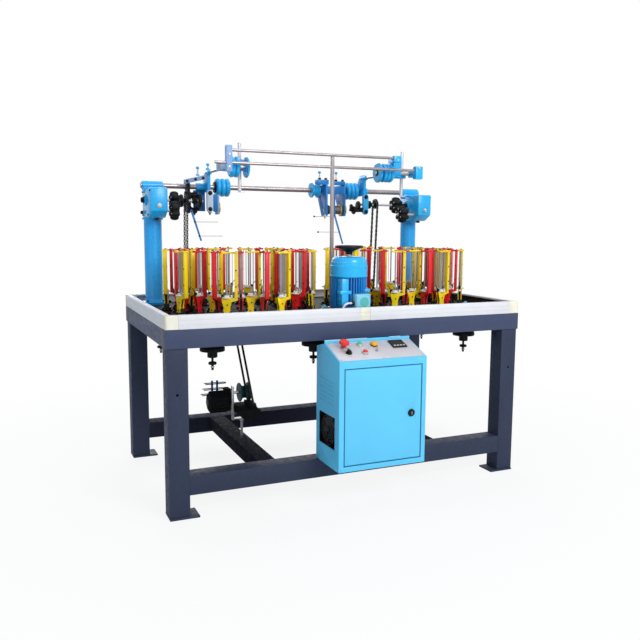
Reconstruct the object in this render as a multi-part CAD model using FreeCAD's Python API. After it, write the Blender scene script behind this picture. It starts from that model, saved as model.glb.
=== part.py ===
# Twin-head kumihimo braiding machine: two rings of bobbin carriers on one table,
# with a take-up roller over each head.  Millimetres, +X to the right, +Y to the
# back, +Z up.  The origin is on the floor, under the centre of the machine.
import FreeCAD
import Part
import math
import os

V = FreeCAD.Vector
os.makedirs("parts", exist_ok=True)

# ---- table -------------------------------------------------------------------
TABLE_LENGTH = 1630.0       # outside of the rim, along X
TABLE_DEPTH = 940.0         # outside of the rim, along Y
FRONT = -373.0              # front face of the rim
LEG = 80.0                  # square tube
TUBE_WALL = 4.0
LEG_INSET = 6.0             # legs behind the rim's outer faces
BEAM_INSET = 1.0            # beams behind the rim's outer faces
FOOT_LENGTH = 118.0
FOOT_THICKNESS = 8.0
STRETCHER_BOTTOM = 92.0
STRETCHER_TOP = 170.0
CROSS_BEAM_X = 387.5
CROSS_BEAM_WIDTH = 75.0
CROSS_BEAM_BOTTOM = 108.0
BEAM_BOTTOM = 672.0
BEAM_TOP = 746.0
RIM_TOP = 800.0
RIM_WIDTH = 24.0
DECK_TOP = 760.0
GEAR_BASE_BOTTOM = 684.0
GEAR_BASE_TOP = 694.0
LEG_HOLE_R = 5.0
LEG_HOLE_Z = 494.0
LEG_HOLE_X = 772.0

# ---- braiding heads ----------------------------------------------------------
HEAD_X = 387.0
HEAD_BACK = 430.0           # behind the front face of the rim
GEARS = 18                  # horn gears round one head
RING_R = 278.0              # circle through the horn gear centres
RING_PHASE = -7.0           # degrees, clockwise from the front as seen from above
SLOT_WIDTH = 12.0
GEAR_R = RING_R * math.sin(math.pi / GEARS)
FACETS = 12                 # sides of the circles cut round the horn gears
POST_R = 12.0               # posts under the track islands
CENTRE_POST_R = 30.0        # posts under the inner track plates

# ---- carrier -----------------------------------------------------------------
CARRIER_TOP = 272.0         # above the deck
SHELF_TOP = 84.0
SHELF_BOTTOM = 76.0
ARM_INNER = 34.0
ARM_OUTER = 44.0
ARM_WIDTH = 18.0
FOOT_HALF = 23.0
WAIST_HALF = 13.0
WAIST_Z = 34.0
SHELF_HALF = 20.0
TOP_BAR = 8.0
TOP_BAR_REACH = 18.0
SPINDLE_R = 5.0
SEAT_R = 19.0
SEAT_HEIGHT = 5.0

# ---- columns and take-up -----------------------------------------------------
COLUMN_X = 697.0
COLUMN_BACK = 820.0
COLUMN_R = 41.5
GEARBOX_WIDTH = 78.0
GEARBOX_BOTTOM = 1170.0
GEARBOX_TOP = 1305.0
MAIN_ROD_BACK = 815.0
MAIN_ROD_Z = 1322.0
MAIN_ROD_R = 12.5
MAIN_ROD_END = 752.0
SHAFT_BACK = 765.0
SHAFT_Z = 1252.0
SHAFT_R = 6.0
RUNNING_GAP = 0.05          # radial clearance of a shaft in its bore
TAKE_UP_X = {"left": -441.0, "right": 389.0}
ROLLER_R = 45.0
ROLLER_LENGTH = 68.0
RIDGE_DEPTH = 12.0
UPPER_ROD_BACK = 300.0
UPPER_ROD_R = 6.5
ROD_A_Z = 1449.0
ROD_B_Z = 1397.0
GUIDE_ROD_X = {"left": -397.0, "right": 409.0}
GUIDE_ROD_BACK = 400.0
GUIDE_ROD_TOP = 1492.0
GUIDE_ROD_BOTTOM = 1284.0
GUIDE_ROD_R = 8.0
UPPER_SHAFT_BACK = 372.0
UPPER_SHAFT_Z = 1386.0
UPPER_SHAFT_R = 8.0
ARM_ROD_Z = 1388.0

# ---- motor -------------------------------------------------------------------
MOTOR_X = 5.0
MOTOR_BACK = 130.0
MOTOR_R = 78.0
MOTOR_FINS = 16
COWL_R = 80.0
COWL_BOTTOM = 923.0
COWL_TOP = 1009.0
HANDWHEEL_R = 61.0
CONDUIT_R = 5.5
CONDUIT_BEND = 28.0

# ---- control cabinet ---------------------------------------------------------
CABINET_LEFT = -183.0
CABINET_RIGHT = 210.0
CABINET_FRONT = -186.0      # behind the front face of the rim, so in front of it
CABINET_BACK = 38.0
CABINET_FRONT_TOP = 613.0
CABINET_RIDGE_BACK = -40.0
CABINET_RIDGE = 667.0
CABINET_BACK_TOP = 647.0
SHEET = 4.0
DOOR_LEFT = -158.0
DOOR_RIGHT = 187.0
DOOR_BOTTOM = 195.0
DOOR_TOP = 582.0
DOOR_THICKNESS = 12.0
DOOR_GAP = 1.0
LOCK_X = 141.0
LOCK_Z = 385.0
LOCK_R = 9.0

# ---- lower drive -------------------------------------------------------------
LOWER_X = -375.0            # middle of the spool
LOWER_BACK = 430.0
LOWER_SHAFT_Z = 385.0
LOWER_PULLEY_R = 43.0
LOWER_SHAFT_R = 6.0
STRIP_X = -432.0            # left face of the upright strip
STRIP_BOTTOM = 262.0
BELT_FOOT = (318.0, 340.0)  # where the belt's middle line enters the guard
BELT_LEAN = math.radians(34.0)
BELT_STRAND_GAP = 33.0      # from the middle line to each strand
BELT_DEPTH = 6.0
BELT_WIDTH = 9.0


def back(distance):
    """Y of a point that lies this far behind the front face of the rim."""
    return FRONT + distance


def box(x0, x1, y0, y1, z0, z1):
    return Part.makeBox(x1 - x0, y1 - y0, z1 - z0, V(x0, y0, z0))


def rod(start, direction, length, radius):
    return Part.makeCylinder(radius, length, start, direction)


def ring_points(centre, radius, sides, turn=0.0):
    """Corners of an upright regular polygon about a vertical axis."""
    points = []
    for i in range(sides):
        angle = math.radians(turn + 360.0 * i / sides)
        points.append(centre + V(radius * math.cos(angle), radius * math.sin(angle), 0))
    return points


def extrude(points, direction):
    return Part.Face(Part.makePolygon(points + points[:1])).extrude(direction)


def prism(centre, radius, sides, height, turn=0.0):
    return extrude(ring_points(centre, radius, sides, turn), V(0, 0, height))


def plate_yz(points, x0, x1):
    """A plate across X from an outline of (distance behind the front, z)."""
    outline = [V(x0, back(d), z) for d, z in points]
    return extrude(outline, V(x1 - x0, 0, 0))


def turn_to(shape, origin, axis):
    """Turn a shape made about +Z so that it stands on origin along axis."""
    placed = shape.copy()
    placed.Placement = FreeCAD.Placement(origin, FreeCAD.Rotation(V(0, 0, 1), axis))
    return placed


def bar(start, direction, length, radius, sides=12):
    """Straight round bar with flat sides."""
    return turn_to(prism(V(0, 0, 0), radius, sides, length), start, direction)


def bore(start, direction, length, radius):
    """Cutter for a round hole: its flats touch a bar of this radius."""
    return bar(start, direction, length, radius / math.cos(math.pi / 12))


def lathe(profile, sides):
    """A turned shape with flat sides, from (radius, height) rings, bottom to top."""
    rings = [ring_points(V(0, 0, z), r, sides, 180.0 / sides) for r, z in profile]
    faces = [Part.Face(Part.makePolygon(ring + ring[:1])) for ring in (rings[0], rings[-1])]
    for low, high in zip(rings, rings[1:]):
        for i in range(sides):
            k = (i + 1) % sides
            faces.append(Part.Face(Part.makePolygon([low[i], low[k], high[k], high[i], low[i]])))
    return Part.makeSolid(Part.makeShell(faces))


def fuse(shapes):
    whole = shapes[0]
    if len(shapes) > 1:
        whole = shapes[0].multiFuse(shapes[1:])
    return whole.removeSplitter()


def save(node, shapes):
    solids = []
    for shape in shapes:
        solids.extend(shape.Solids)
    for solid in solids:
        if not solid.isValid():
            raise ValueError("bad solid in " + node)
    Part.makeCompound(solids).exportStep("parts/" + node + ".step")
    print(node, len(solids))


# ---- frame -------------------------------------------------------------------
HALF = TABLE_LENGTH / 2
OUTER = HALF - LEG_INSET
INNER = OUTER - LEG
FRONT_LEG = (back(LEG_INSET), back(LEG_INSET + LEG))
BACK_LEG = (back(TABLE_DEPTH - LEG_INSET - LEG), back(TABLE_DEPTH - LEG_INSET))
BEAM_END = HALF - BEAM_INSET
FRONT_BEAM = (back(BEAM_INSET), FRONT_LEG[1])
BACK_BEAM = (BACK_LEG[0], back(TABLE_DEPTH - BEAM_INSET))


def tube(x0, x1, y0, y1, z0, z1, axis):
    """Square tube with open ends along axis."""
    wall = [TUBE_WALL] * 3
    wall["xyz".index(axis)] = 0.0
    inside = box(x0 + wall[0], x1 - wall[0], y0 + wall[1], y1 - wall[1], z0 + wall[2], z1 - wall[2])
    return box(x0, x1, y0, y1, z0, z1).cut(inside)


def frame():
    legs = []
    feet = []
    for side in (-1, 1):
        x0, x1 = sorted((side * INNER, side * OUTER))
        f0, f1 = sorted((side * (OUTER - FOOT_LENGTH), side * OUTER))
        for y0, y1 in (FRONT_LEG, BACK_LEG):
            leg = tube(x0, x1, y0, y1, FOOT_THICKNESS, BEAM_BOTTOM, "z")
            if y0 < 0:
                hole_start = V(side * LEG_HOLE_X, y0 - 1, LEG_HOLE_Z)
                leg = leg.cut(rod(hole_start, V(0, 1, 0), TUBE_WALL + 2, LEG_HOLE_R))
            legs.append(leg)
            feet.append(box(f0, f1, y0 - LEG_INSET, y1 + LEG_INSET, 0, FOOT_THICKNESS))
    save("legs", legs)
    save("foot_plates", feet)

    beams = []
    stretchers = []
    for y0, y1 in (FRONT_BEAM, BACK_BEAM):
        beams.append(tube(-BEAM_END, BEAM_END, y0, y1, BEAM_BOTTOM, BEAM_TOP, "x"))
    for y0, y1 in (FRONT_LEG, BACK_LEG):
        stretchers.append(tube(-INNER, INNER, y0, y1, STRETCHER_BOTTOM, STRETCHER_TOP, "x"))
    for side in (-1, 1):
        x0, x1 = sorted((side * INNER, side * BEAM_END))
        beams.append(tube(x0, x1, FRONT_LEG[1], BACK_LEG[0], BEAM_BOTTOM, BEAM_TOP, "y"))
    save("top_beams", beams)
    save("stretchers", stretchers)

    cross = []
    for side in (-1, 1):
        x0 = side * CROSS_BEAM_X - CROSS_BEAM_WIDTH / 2
        x1 = x0 + CROSS_BEAM_WIDTH
        cross.append(tube(x0, x1, FRONT_LEG[1], BACK_LEG[0], CROSS_BEAM_BOTTOM, STRETCHER_TOP, "y"))
    save("cross_beams", cross)


RIM_CAP = 52.0              # length of a corner cap along the rim
CAP_CORNER = 6.0            # chamfer on the corner cap's outer edge
JOINT_X = 23.0              # middle of the joint cover in the front rim
JOINT_WIDTH = 45.0


def rim_outline():
    """Section of the rim profile: (distance in from its outer face, height)."""
    w = RIM_WIDTH
    h = RIM_TOP - BEAM_TOP
    return [(0, 0), (0, h - 4), (3, h), (w, h), (w, h - 8), (w - 12, h - 8), (w - 12, 10), (w, 10), (w, 0)]


def rim_bar(corner, along, inward, length):
    points = []
    for a, z in rim_outline():
        points.append(corner + inward * a + V(0, 0, BEAM_TOP + z))
    return extrude(points, along * length)


def rim():
    span_x = TABLE_LENGTH - 2 * RIM_CAP
    span_y = TABLE_DEPTH - 2 * RIM_CAP
    y0 = back(0)
    y1 = back(TABLE_DEPTH)
    left_part = JOINT_X - JOINT_WIDTH / 2 + HALF - RIM_CAP
    right_part = span_x - left_part - JOINT_WIDTH
    bars = [
        rim_bar(V(-HALF + RIM_CAP, y0, 0), V(1, 0, 0), V(0, 1, 0), left_part),
        rim_bar(V(JOINT_X + JOINT_WIDTH / 2, y0, 0), V(1, 0, 0), V(0, 1, 0), right_part),
        rim_bar(V(-HALF + RIM_CAP, y1, 0), V(1, 0, 0), V(0, -1, 0), span_x),
        rim_bar(V(-HALF, y0 + RIM_CAP, 0), V(0, 1, 0), V(1, 0, 0), span_y),
        rim_bar(V(HALF, y0 + RIM_CAP, 0), V(0, 1, 0), V(-1, 0, 0), span_y),
    ]
    save("rim_profiles", bars)

    caps = []
    for sx in (-1, 1):
        for front_side in (True, False):
            sy = 1 if front_side else -1
            y = y0 if front_side else y1
            outer = [
                (0, CAP_CORNER), (CAP_CORNER, 0), (RIM_CAP, 0), (RIM_CAP, RIM_WIDTH),
                (RIM_WIDTH, RIM_WIDTH), (RIM_WIDTH, RIM_CAP), (0, RIM_CAP),
            ]
            points = [V(sx * (a - HALF), y + sy * b, BEAM_TOP) for a, b in outer]
            caps.append(extrude(points, V(0, 0, RIM_TOP - BEAM_TOP)))
    joint_left = JOINT_X - JOINT_WIDTH / 2
    caps.append(box(joint_left, joint_left + JOINT_WIDTH, y0, y0 + RIM_WIDTH, BEAM_TOP, RIM_TOP))
    save("rim_caps", caps)


# ---- track plates ------------------------------------------------------------
def head_centre(side):
    return V(side * HEAD_X, back(HEAD_BACK), 0)


def on_ring(side, step, radius):
    """Place on a head's ring, and the two directions there: along it and outward."""
    angle = math.radians(RING_PHASE + 360.0 * step / GEARS)
    outward = V(math.sin(angle), -math.cos(angle), 0)
    along = V(math.cos(angle), math.sin(angle), 0)
    return head_centre(side) + outward * radius, along, outward


def gear_angle(step):
    return RING_PHASE + 360.0 * step / GEARS - 90.0


def gear_circles(side, radius, bottom, height):
    circles = []
    for step in range(GEARS):
        place = on_ring(side, step, RING_R)[0]
        circles.append(prism(place + V(0, 0, bottom), radius, FACETS, height, gear_angle(step) + 15.0))
    return circles


def track():
    inside = RIM_WIDTH
    slot = GEAR_R + SLOT_WIDTH / 2
    thickness = DECK_TOP - BEAM_TOP
    post_height = BEAM_TOP - GEAR_BASE_TOP
    deck_level = V(0, 0, BEAM_TOP)
    post_level = V(0, 0, GEAR_BASE_TOP)
    edge = HALF - inside
    plate = box(-edge, edge, back(inside), back(TABLE_DEPTH - inside), BEAM_TOP, DECK_TOP)
    inner = []
    islands = []
    for side in (-1, 1):
        disc = prism(head_centre(side) + deck_level, RING_R, GEARS, thickness, gear_angle(0))
        circles = gear_circles(side, slot, BEAM_TOP, thickness)
        plate = plate.cut(fuse([disc] + circles))
        inner.append(disc.cut(fuse(circles)))
        inner.append(prism(head_centre(side) + post_level, CENTRE_POST_R, 6, post_height))
        for step in range(GEARS):
            place = on_ring(side, step, RING_R)[0]
            island_r = GEAR_R - SLOT_WIDTH / 2
            islands.append(prism(place + deck_level, island_r, 8, thickness, gear_angle(step)))
            islands.append(prism(place + post_level, POST_R, 4, post_height))
        plate = plate.cut(chain_slot(side))
    save("track_plate", [plate])
    save("inner_tracks", inner)
    save("gear_islands", islands)
    base = box(-INNER, INNER, FRONT_LEG[1], BACK_LEG[0], GEAR_BASE_BOTTOM, GEAR_BASE_TOP)
    save("gear_base_plate", [base])


# ---- carriers ----------------------------------------------------------------
def carrier():
    """One carrier, its spindle on the local Z axis and its arm towards +X: a casting
    with a narrow waist that widens into the shelf, an arm, and a bar over the spindle."""
    half = ARM_WIDTH / 2
    outline = [
        (-FOOT_HALF, 0), (FOOT_HALF, 0), (WAIST_HALF, WAIST_Z), (SHELF_HALF, SHELF_BOTTOM - 6),
        (ARM_OUTER, SHELF_BOTTOM), (ARM_OUTER, SHELF_TOP),
        (-SHELF_HALF, SHELF_TOP), (-WAIST_HALF, WAIST_Z),
    ]
    foot = extrude([V(u, -half, z) for u, z in outline], V(0, ARM_WIDTH, 0))
    arm = box(ARM_INNER, ARM_OUTER, -half, half, SHELF_TOP, CARRIER_TOP)
    top_bar = box(-TOP_BAR_REACH, ARM_INNER, -half, half, CARRIER_TOP - TOP_BAR, CARRIER_TOP)
    return [foot, arm, top_bar]


def place_carrier(shape, place, direction):
    placed = shape.copy()
    turn = FreeCAD.Rotation(V(1, 0, 0), direction)
    placed.Placement = FreeCAD.Placement(place + V(0, 0, DECK_TOP), turn)
    return placed


def carrier_places(side):
    """Yellow carriers are on the gears' outer and inner sides, red ones between gears."""
    yellow = []
    red = []
    for step in range(GEARS):
        outer = 1 if step % 2 else -1
        place, along, outward = on_ring(side, step, RING_R + outer * GEAR_R)
        yellow.append((place, along))
        between = RING_R * math.cos(math.pi / GEARS)
        place, along, outward = on_ring(side, step + 0.5, between)
        red.append((place, outward * outer * -1))
    return yellow, red


def carriers():
    casting = carrier()
    spindle_height = CARRIER_TOP - TOP_BAR - SHELF_TOP - SEAT_HEIGHT
    spindle = prism(V(0, 0, SHELF_TOP + SEAT_HEIGHT), SPINDLE_R, 4, spindle_height)
    seat = prism(V(0, 0, SHELF_TOP), SEAT_R, 6, SEAT_HEIGHT)
    yellow_castings = []
    red_castings = []
    spindles = []
    seats = []
    for side in (-1, 1):
        yellow, red = carrier_places(side)
        yellow_castings += [place_carrier(piece, p, d) for p, d in yellow for piece in casting]
        red_castings += [place_carrier(piece, p, d) for p, d in red for piece in casting]
        spindles += [place_carrier(spindle, p, d) for p, d in yellow + red]
        seats += [place_carrier(seat, p, d) for p, d in yellow + red]
    save("yellow_carriers", yellow_castings)
    save("red_carriers", red_castings)
    save("carrier_spindles", spindles)
    save("bobbin_seats", seats)


# ---- columns, gearboxes and main rod ------------------------------------------
GEARBOX_FRONT = 650.0
GEARBOX_REAR = 860.0
SLEEVE_R = 21.0
SLEEVE_HOLE_R = 12.0        # hole of the flange on each gearbox side
SLEEVE_IN = 648.0
SLEEVE_OUT = 745.0


def gearbox_faces(side):
    half = GEARBOX_WIDTH / 2
    return sorted((side * COLUMN_X - half, side * COLUMN_X + half))


def columns():
    posts = []
    for side in (-1, 1):
        centre = V(side * COLUMN_X, back(COLUMN_BACK), DECK_TOP)
        pipe = bar(centre, V(0, 0, 1), GEARBOX_BOTTOM - DECK_TOP, COLUMN_R, 16)
        flange = bar(centre, V(0, 0, 1), 16.0, COLUMN_R + 20.0, 12)
        posts.append(fuse([pipe, flange]))
    save("columns", posts)

    boxes = []
    fittings = []
    for side in (-1, 1):
        x0, x1 = gearbox_faces(side)
        outline = [
            (GEARBOX_FRONT, GEARBOX_TOP), (GEARBOX_REAR, GEARBOX_TOP), (GEARBOX_REAR, GEARBOX_BOTTOM),
            (GEARBOX_FRONT + 52, GEARBOX_BOTTOM), (GEARBOX_FRONT, GEARBOX_BOTTOM + 30),
        ]
        body = plate_yz(outline, x0, x1)
        s0, s1 = sorted((side * SLEEVE_IN, side * SLEEVE_OUT))
        sleeve = bar(V(s0, back(MAIN_ROD_BACK), MAIN_ROD_Z), V(1, 0, 0), s1 - s0, SLEEVE_R)
        whole = fuse([body, sleeve])
        rod_start = V(s0 - 1, back(MAIN_ROD_BACK), MAIN_ROD_Z)
        whole = whole.cut(bore(rod_start, V(1, 0, 0), s1 - s0 + 2, MAIN_ROD_R + RUNNING_GAP))
        shaft_start = V(x0 - 1, back(SHAFT_BACK), SHAFT_Z)
        whole = whole.cut(bore(shaft_start, V(1, 0, 0), x1 - x0 + 2, SHAFT_R + RUNNING_GAP))
        boxes.append(whole)
        for x, direction in ((x0, -1), (x1, 1)):
            start = V(x, back(SHAFT_BACK), SHAFT_Z)
            flange = bar(start, V(direction, 0, 0), 8.0, 25.0)
            fittings.append(flange.cut(bar(start, V(direction, 0, 0), 8.0, SLEEVE_HOLE_R, 8)))
        sight = prism(V(0, 0, 0), 11.0, 8, 6.0)
        fittings.append(turn_to(sight, V(side * COLUMN_X, back(GEARBOX_FRONT), 1225.0), V(0, -1, 0)))
        drain = V(side * COLUMN_X, back(GEARBOX_FRONT + 66), GEARBOX_BOTTOM - 10)
        fittings.append(prism(drain, 11.0, 6, 10.0))
        outer_face = x1 if side > 0 else x0
        bolt = prism(V(0, 0, 0), 9.0, 6, 12.0)
        fittings.append(turn_to(bolt, V(outer_face, back(GEARBOX_REAR - 18), 1196.0), V(side, 0, 0)))
    save("gearbox_housings", boxes)
    save("gearbox_fittings", fittings)

    main = rod(V(-MAIN_ROD_END, back(MAIN_ROD_BACK), MAIN_ROD_Z), V(1, 0, 0), 2 * MAIN_ROD_END, MAIN_ROD_R)
    save("main_rod", [main])


# ---- take-up drive -------------------------------------------------------------
STAR_LOBES = 6
STAR_R = 44.0
STAR_LOBE_R = 13.0
KNOB_BACK = 690.0           # axis of the clutch knobs
KNOB_Z = 1203.0
SPROCKET_R = 21.0
CHAIN_X = {"left": -549.0, "right": 462.0}
CHAIN_WIDTH = 10.0
CHAIN_DEPTH = 8.0
CHAIN_GAP = 0.5             # between the sprocket's teeth and the chain
CHAIN_FOOT_BACK = 800.0
CHAIN_FOOT_Z = 735.0


def star_wheel(start, length):
    """Six-lobed star knob along X, for turning a shaft by hand."""
    parts = [prism(V(0, 0, 0), STAR_R - STAR_LOBE_R, STAR_LOBES, length)]
    for i in range(STAR_LOBES):
        angle = 2 * math.pi * i / STAR_LOBES
        centre = V(math.cos(angle), math.sin(angle), 0) * (STAR_R - STAR_LOBE_R)
        parts.append(prism(centre, STAR_LOBE_R, 6, length, math.degrees(angle)))
    return turn_to(fuse(parts), start, V(1, 0, 0))


def sprocket(x):
    teeth = 8
    points = []
    for i in range(teeth):
        for step, radius in ((0.0, SPROCKET_R), (0.5, SPROCKET_R - 4.0)):
            angle = 2 * math.pi * (i + step) / teeth
            points.append(V(radius * math.cos(angle), radius * math.sin(angle), -3))
    wheel = fuse([extrude(points, V(0, 0, 6)), prism(V(0, 0, -12), 12.0, 6, 24.0)])
    return turn_to(wheel, V(x, back(SHAFT_BACK), SHAFT_Z), V(1, 0, 0))


def drive_shaft(name, side, inner_end, star, sprocket_xs, collars):
    """Shaft from the gearbox to the take-up unit, with what turns on it."""
    outer_end = side * (COLUMN_X + GEARBOX_WIDTH / 2 + 22)
    x0, x1 = sorted((inner_end, outer_end))
    turned = [bar(V(x0, back(SHAFT_BACK), SHAFT_Z), V(1, 0, 0), x1 - x0, SHAFT_R)]
    knob_x = outer_end - side * 12 if side > 0 else outer_end
    turned.append(bar(V(knob_x, back(SHAFT_BACK), SHAFT_Z), V(1, 0, 0), 12.0, 13.0, 8))
    turned.append(star_wheel(V(star[0], back(SHAFT_BACK), SHAFT_Z), star[1] - star[0]))
    for x in sprocket_xs:
        turned.append(sprocket(x))
    for start, end, radius in collars:
        turned.append(bar(V(start, back(SHAFT_BACK), SHAFT_Z), V(1, 0, 0), end - start, radius, 8))
    save(name, [fuse(turned)])


def clutch_knob(name, side, start, end):
    """Star knob on a short stem in front of the drive shaft, on the gearbox's inner face."""
    face = side * (COLUMN_X - GEARBOX_WIDTH / 2)
    stem_from, stem_to = sorted((face, start if side < 0 else end))
    stem = bar(V(stem_from, back(KNOB_BACK), KNOB_Z), V(1, 0, 0), stem_to - stem_from, 7.0, 8)
    save(name, [fuse([star_wheel(V(start, back(KNOB_BACK), KNOB_Z), end - start), stem])])


def loop_points(top, bottom, radius_top, radius_bottom):
    """Outline of a loop round two wheels, as (distance behind the front, z)."""
    lean = math.atan2(bottom[0] - top[0], top[1] - bottom[1])
    points = []
    for (d, z), radius, first in ((top, radius_top, 0.0), (bottom, radius_bottom, math.pi)):
        for i in range(7):
            angle = first + math.pi * i / 6 + lean
            points.append((d + radius * math.cos(angle), z + radius * math.sin(angle)))
    return points


def chain_slot(side):
    x = CHAIN_X["left" if side < 0 else "right"]
    y = back(CHAIN_FOOT_BACK)
    return box(x - 12, x + 12, y - 36, y + 36, BEAM_TOP - 1, DECK_TOP + 1)


def belt_loop(points_outer, points_inner, x, width):
    outer = plate_yz(points_outer, x - width / 2, x + width / 2)
    inner = plate_yz(points_inner, x - width / 2, x + width / 2)
    return outer.cut(inner)


def chains():
    loops = []
    inside = (SPROCKET_R + CHAIN_GAP) / math.cos(math.pi / 12)
    outside = inside + CHAIN_DEPTH
    top = (SHAFT_BACK, SHAFT_Z)
    bottom = (CHAIN_FOOT_BACK, CHAIN_FOOT_Z)
    for name in ("left", "right"):
        inner = loop_points(top, bottom, inside, inside)
        outer = loop_points(top, bottom, outside, outside)
        loops.append(belt_loop(outer, inner, CHAIN_X[name], CHAIN_WIDTH))
    save("chains_and_belt", loops + lower_belt())


def grooved(length, radius, ridges):
    """Roller with rounded ridges and narrow grooves between them, along +Z from 0."""
    pitch = length / ridges
    rings = [(radius - RIDGE_DEPTH, 0.0)]
    for i in range(ridges):
        z = i * pitch
        rings += [(radius - 2, z + 0.16 * pitch), (radius, z + 0.5 * pitch), (radius - 2, z + 0.84 * pitch)]
        rings.append((radius - RIDGE_DEPTH, z + pitch))
    return lathe(rings, 12)


PIN_R = 3.0
LEVER_PIVOT = {-1: V(-530, back(733), 1204), 1: V(206, back(719), 1196)}
PRESS_BACK = 760.0          # axis of the press rollers
PRESS_Z = 1222.0
PRESS_PIN_R = 5.0
PLATE_FRONT = 728.0         # front edge of the side plates


def left_hanger():
    """Clamp on the main rod whose tail carries the pivot of the left stop lever."""
    pivot = LEVER_PIVOT[-1]
    outline = [
        (786, pivot.z - 9), (798, pivot.z - 9), (798, 1292), (836, 1292), (836, 1346), (786, 1346),
    ]
    clamp = plate_yz(outline, pivot.x - 7, pivot.x + 7)
    clamp = clamp.cut(bore(V(pivot.x - 8, back(MAIN_ROD_BACK), MAIN_ROD_Z), V(1, 0, 0), 16.0, MAIN_ROD_R))
    return clamp.cut(bore(V(pivot.x, back(785), pivot.z), V(0, 1, 0), 14.0, PIN_R + RUNNING_GAP))


def right_hanger():
    """Strip between the right side plates that carries the pivot of the right stop lever."""
    pivot = LEVER_PIVOT[1]
    strip = box(pivot.x - 7, pivot.x + 7, back(PLATE_FRONT), back(PLATE_FRONT + 8), pivot.z - 9, 1302)
    return strip.cut(bore(V(pivot.x, back(PLATE_FRONT - 1), pivot.z), V(0, 1, 0), 10.0, PIN_R + RUNNING_GAP))


def main_roller(x, length, radius, ridges):
    """Roller that turns freely on the main rod."""
    start = V(x, back(MAIN_ROD_BACK), MAIN_ROD_Z)
    roller = turn_to(grooved(length, radius, ridges), start, V(1, 0, 0))
    return roller.cut(bore(start, V(1, 0, 0), length, MAIN_ROD_R + RUNNING_GAP))


def press_hole(x, length):
    return bore(V(x, back(PRESS_BACK), PRESS_Z), V(1, 0, 0), length, PRESS_PIN_R + RUNNING_GAP)


def press_roller(name, x, length, radius, pin_from, pin_to, brass_x, brass_r):
    """Small roller on its pin, with a brass wheel at one end."""
    roller = fuse([
        bar(V(x, back(PRESS_BACK), PRESS_Z), V(1, 0, 0), length, radius, 16),
        bar(V(pin_from, back(PRESS_BACK), PRESS_Z), V(1, 0, 0), pin_to - pin_from, PRESS_PIN_R),
    ])
    brass = bar(V(brass_x, back(PRESS_BACK), PRESS_Z), V(1, 0, 0), 5.0, brass_r, 16)
    save(name, [roller, brass.cut(roller)])


def take_up_bracket(x, side):
    """Plate on a sleeve round the main rod, with a boss for the arm rod on top."""
    outline = [(745, 1296), (838, 1296), (838, 1345), (792, 1402), (745, 1402)]
    body = plate_yz(outline, x - 7, x + 7)
    sleeve_x = x + 7 if side > 0 else x - 47
    sleeve = bar(V(sleeve_x, back(MAIN_ROD_BACK), MAIN_ROD_Z), V(1, 0, 0), 40.0, 18.0)
    boss = bar(V(x, back(738), ARM_ROD_Z), V(0, 1, 0), 56.0, 12.0)
    whole = fuse([body, sleeve, boss])
    whole = whole.cut(bore(V(x - 60, back(MAIN_ROD_BACK), MAIN_ROD_Z), V(1, 0, 0), 120.0, MAIN_ROD_R))
    return whole.cut(bore(V(x, back(730), ARM_ROD_Z), V(0, 1, 0), 44.0, UPPER_ROD_R))


def take_up():
    left = TAKE_UP_X["left"]
    right = TAKE_UP_X["right"]
    save("take_up_rollers", [
        main_roller(-392.0, ROLLER_LENGTH, ROLLER_R, 3),
        main_roller(306.0, ROLLER_LENGTH, ROLLER_R, 3),
        main_roller(112.0, 44.0, 38.0, 1),
    ])

    slope = [(-560, 1330), (left - 7, 1356), (left - 7, 1378), (-560, 1350)]
    slope_plate = extrude([V(x, back(745), z) for x, z in slope], V(0, 12, 0))
    brackets = [take_up_bracket(left, -1), take_up_bracket(right, 1), slope_plate, left_hanger()]
    save("take_up_brackets", brackets)

    plates = [two_bolt_bar(left), two_bolt_bar(right)]
    outline = [(PLATE_FRONT, 1190), (790, 1190), (845, 1290), (845, 1348), (PLATE_FRONT, 1348)]
    for x in (163.0, 264.0):
        rod_hole = bore(V(x - 1, back(MAIN_ROD_BACK), MAIN_ROD_Z), V(1, 0, 0), 10.0, MAIN_ROD_R)
        plates.append(plate_yz(outline, x, x + 8).cut(rod_hole).cut(press_hole(x - 1, 10.0)))
    cross_plate = box(171, 264, back(PLATE_FRONT), back(PLATE_FRONT + 8), 1300, 1340)
    plates.append(fuse([cross_plate, right_hanger()]))
    plates.append(box(119, 179, back(734), back(776), 1348, 1372))
    plates.append(box(210, 272, back(734), back(776), 1348, 1366))
    left_plate = box(-404, -396, back(PLATE_FRONT), back(782), 1190, 1284)
    plates.append(left_plate.cut(press_hole(-405, 10.0)))
    plates.append(box(-426, -404, back(PLATE_FRONT), back(PLATE_FRONT + 8), 1206, 1284))
    save("take_up_plates", plates)

    press_roller("press_roller_right", 177.5, 80.0, 22.0, 160.0, 284.0, 275.0, 29.0)
    press_roller("press_roller_left", -416.0, 10.0, 20.0, -416.0, -388.0, -393.0, 27.0)


def two_bolt_bar(x):
    """Upright bar with round ends and two bolt holes."""
    top = 1290.0
    bottom = 1214.0
    width = 30.0
    body = box(x - width / 2, x + width / 2, back(PLATE_FRONT), back(745), bottom, top)
    ends = [bar(V(x, back(PLATE_FRONT), z), V(0, 1, 0), 17.0, width / 2) for z in (bottom, top)]
    whole = fuse([body] + ends)
    for z in (bottom, top):
        whole = whole.cut(bar(V(x, back(PLATE_FRONT - 1), z), V(0, 1, 0), 10.0, 5.0, 8))
    return whole


def pressure_screw(name, x, y, z_seat, z_knob):
    """Thumb screw: a round stem with a faceted knob."""
    stem = prism(V(x, y, z_seat), 4.0, 8, z_knob - z_seat)
    knob = lathe([(4, 0), (9, 7), (4, 14)], 8)
    knob.translate(V(x, y, z_knob))
    nut = prism(V(x, y, z_seat), 9.0, 6, 7.0)
    save(name, [fuse([stem, knob, nut])])


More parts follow.
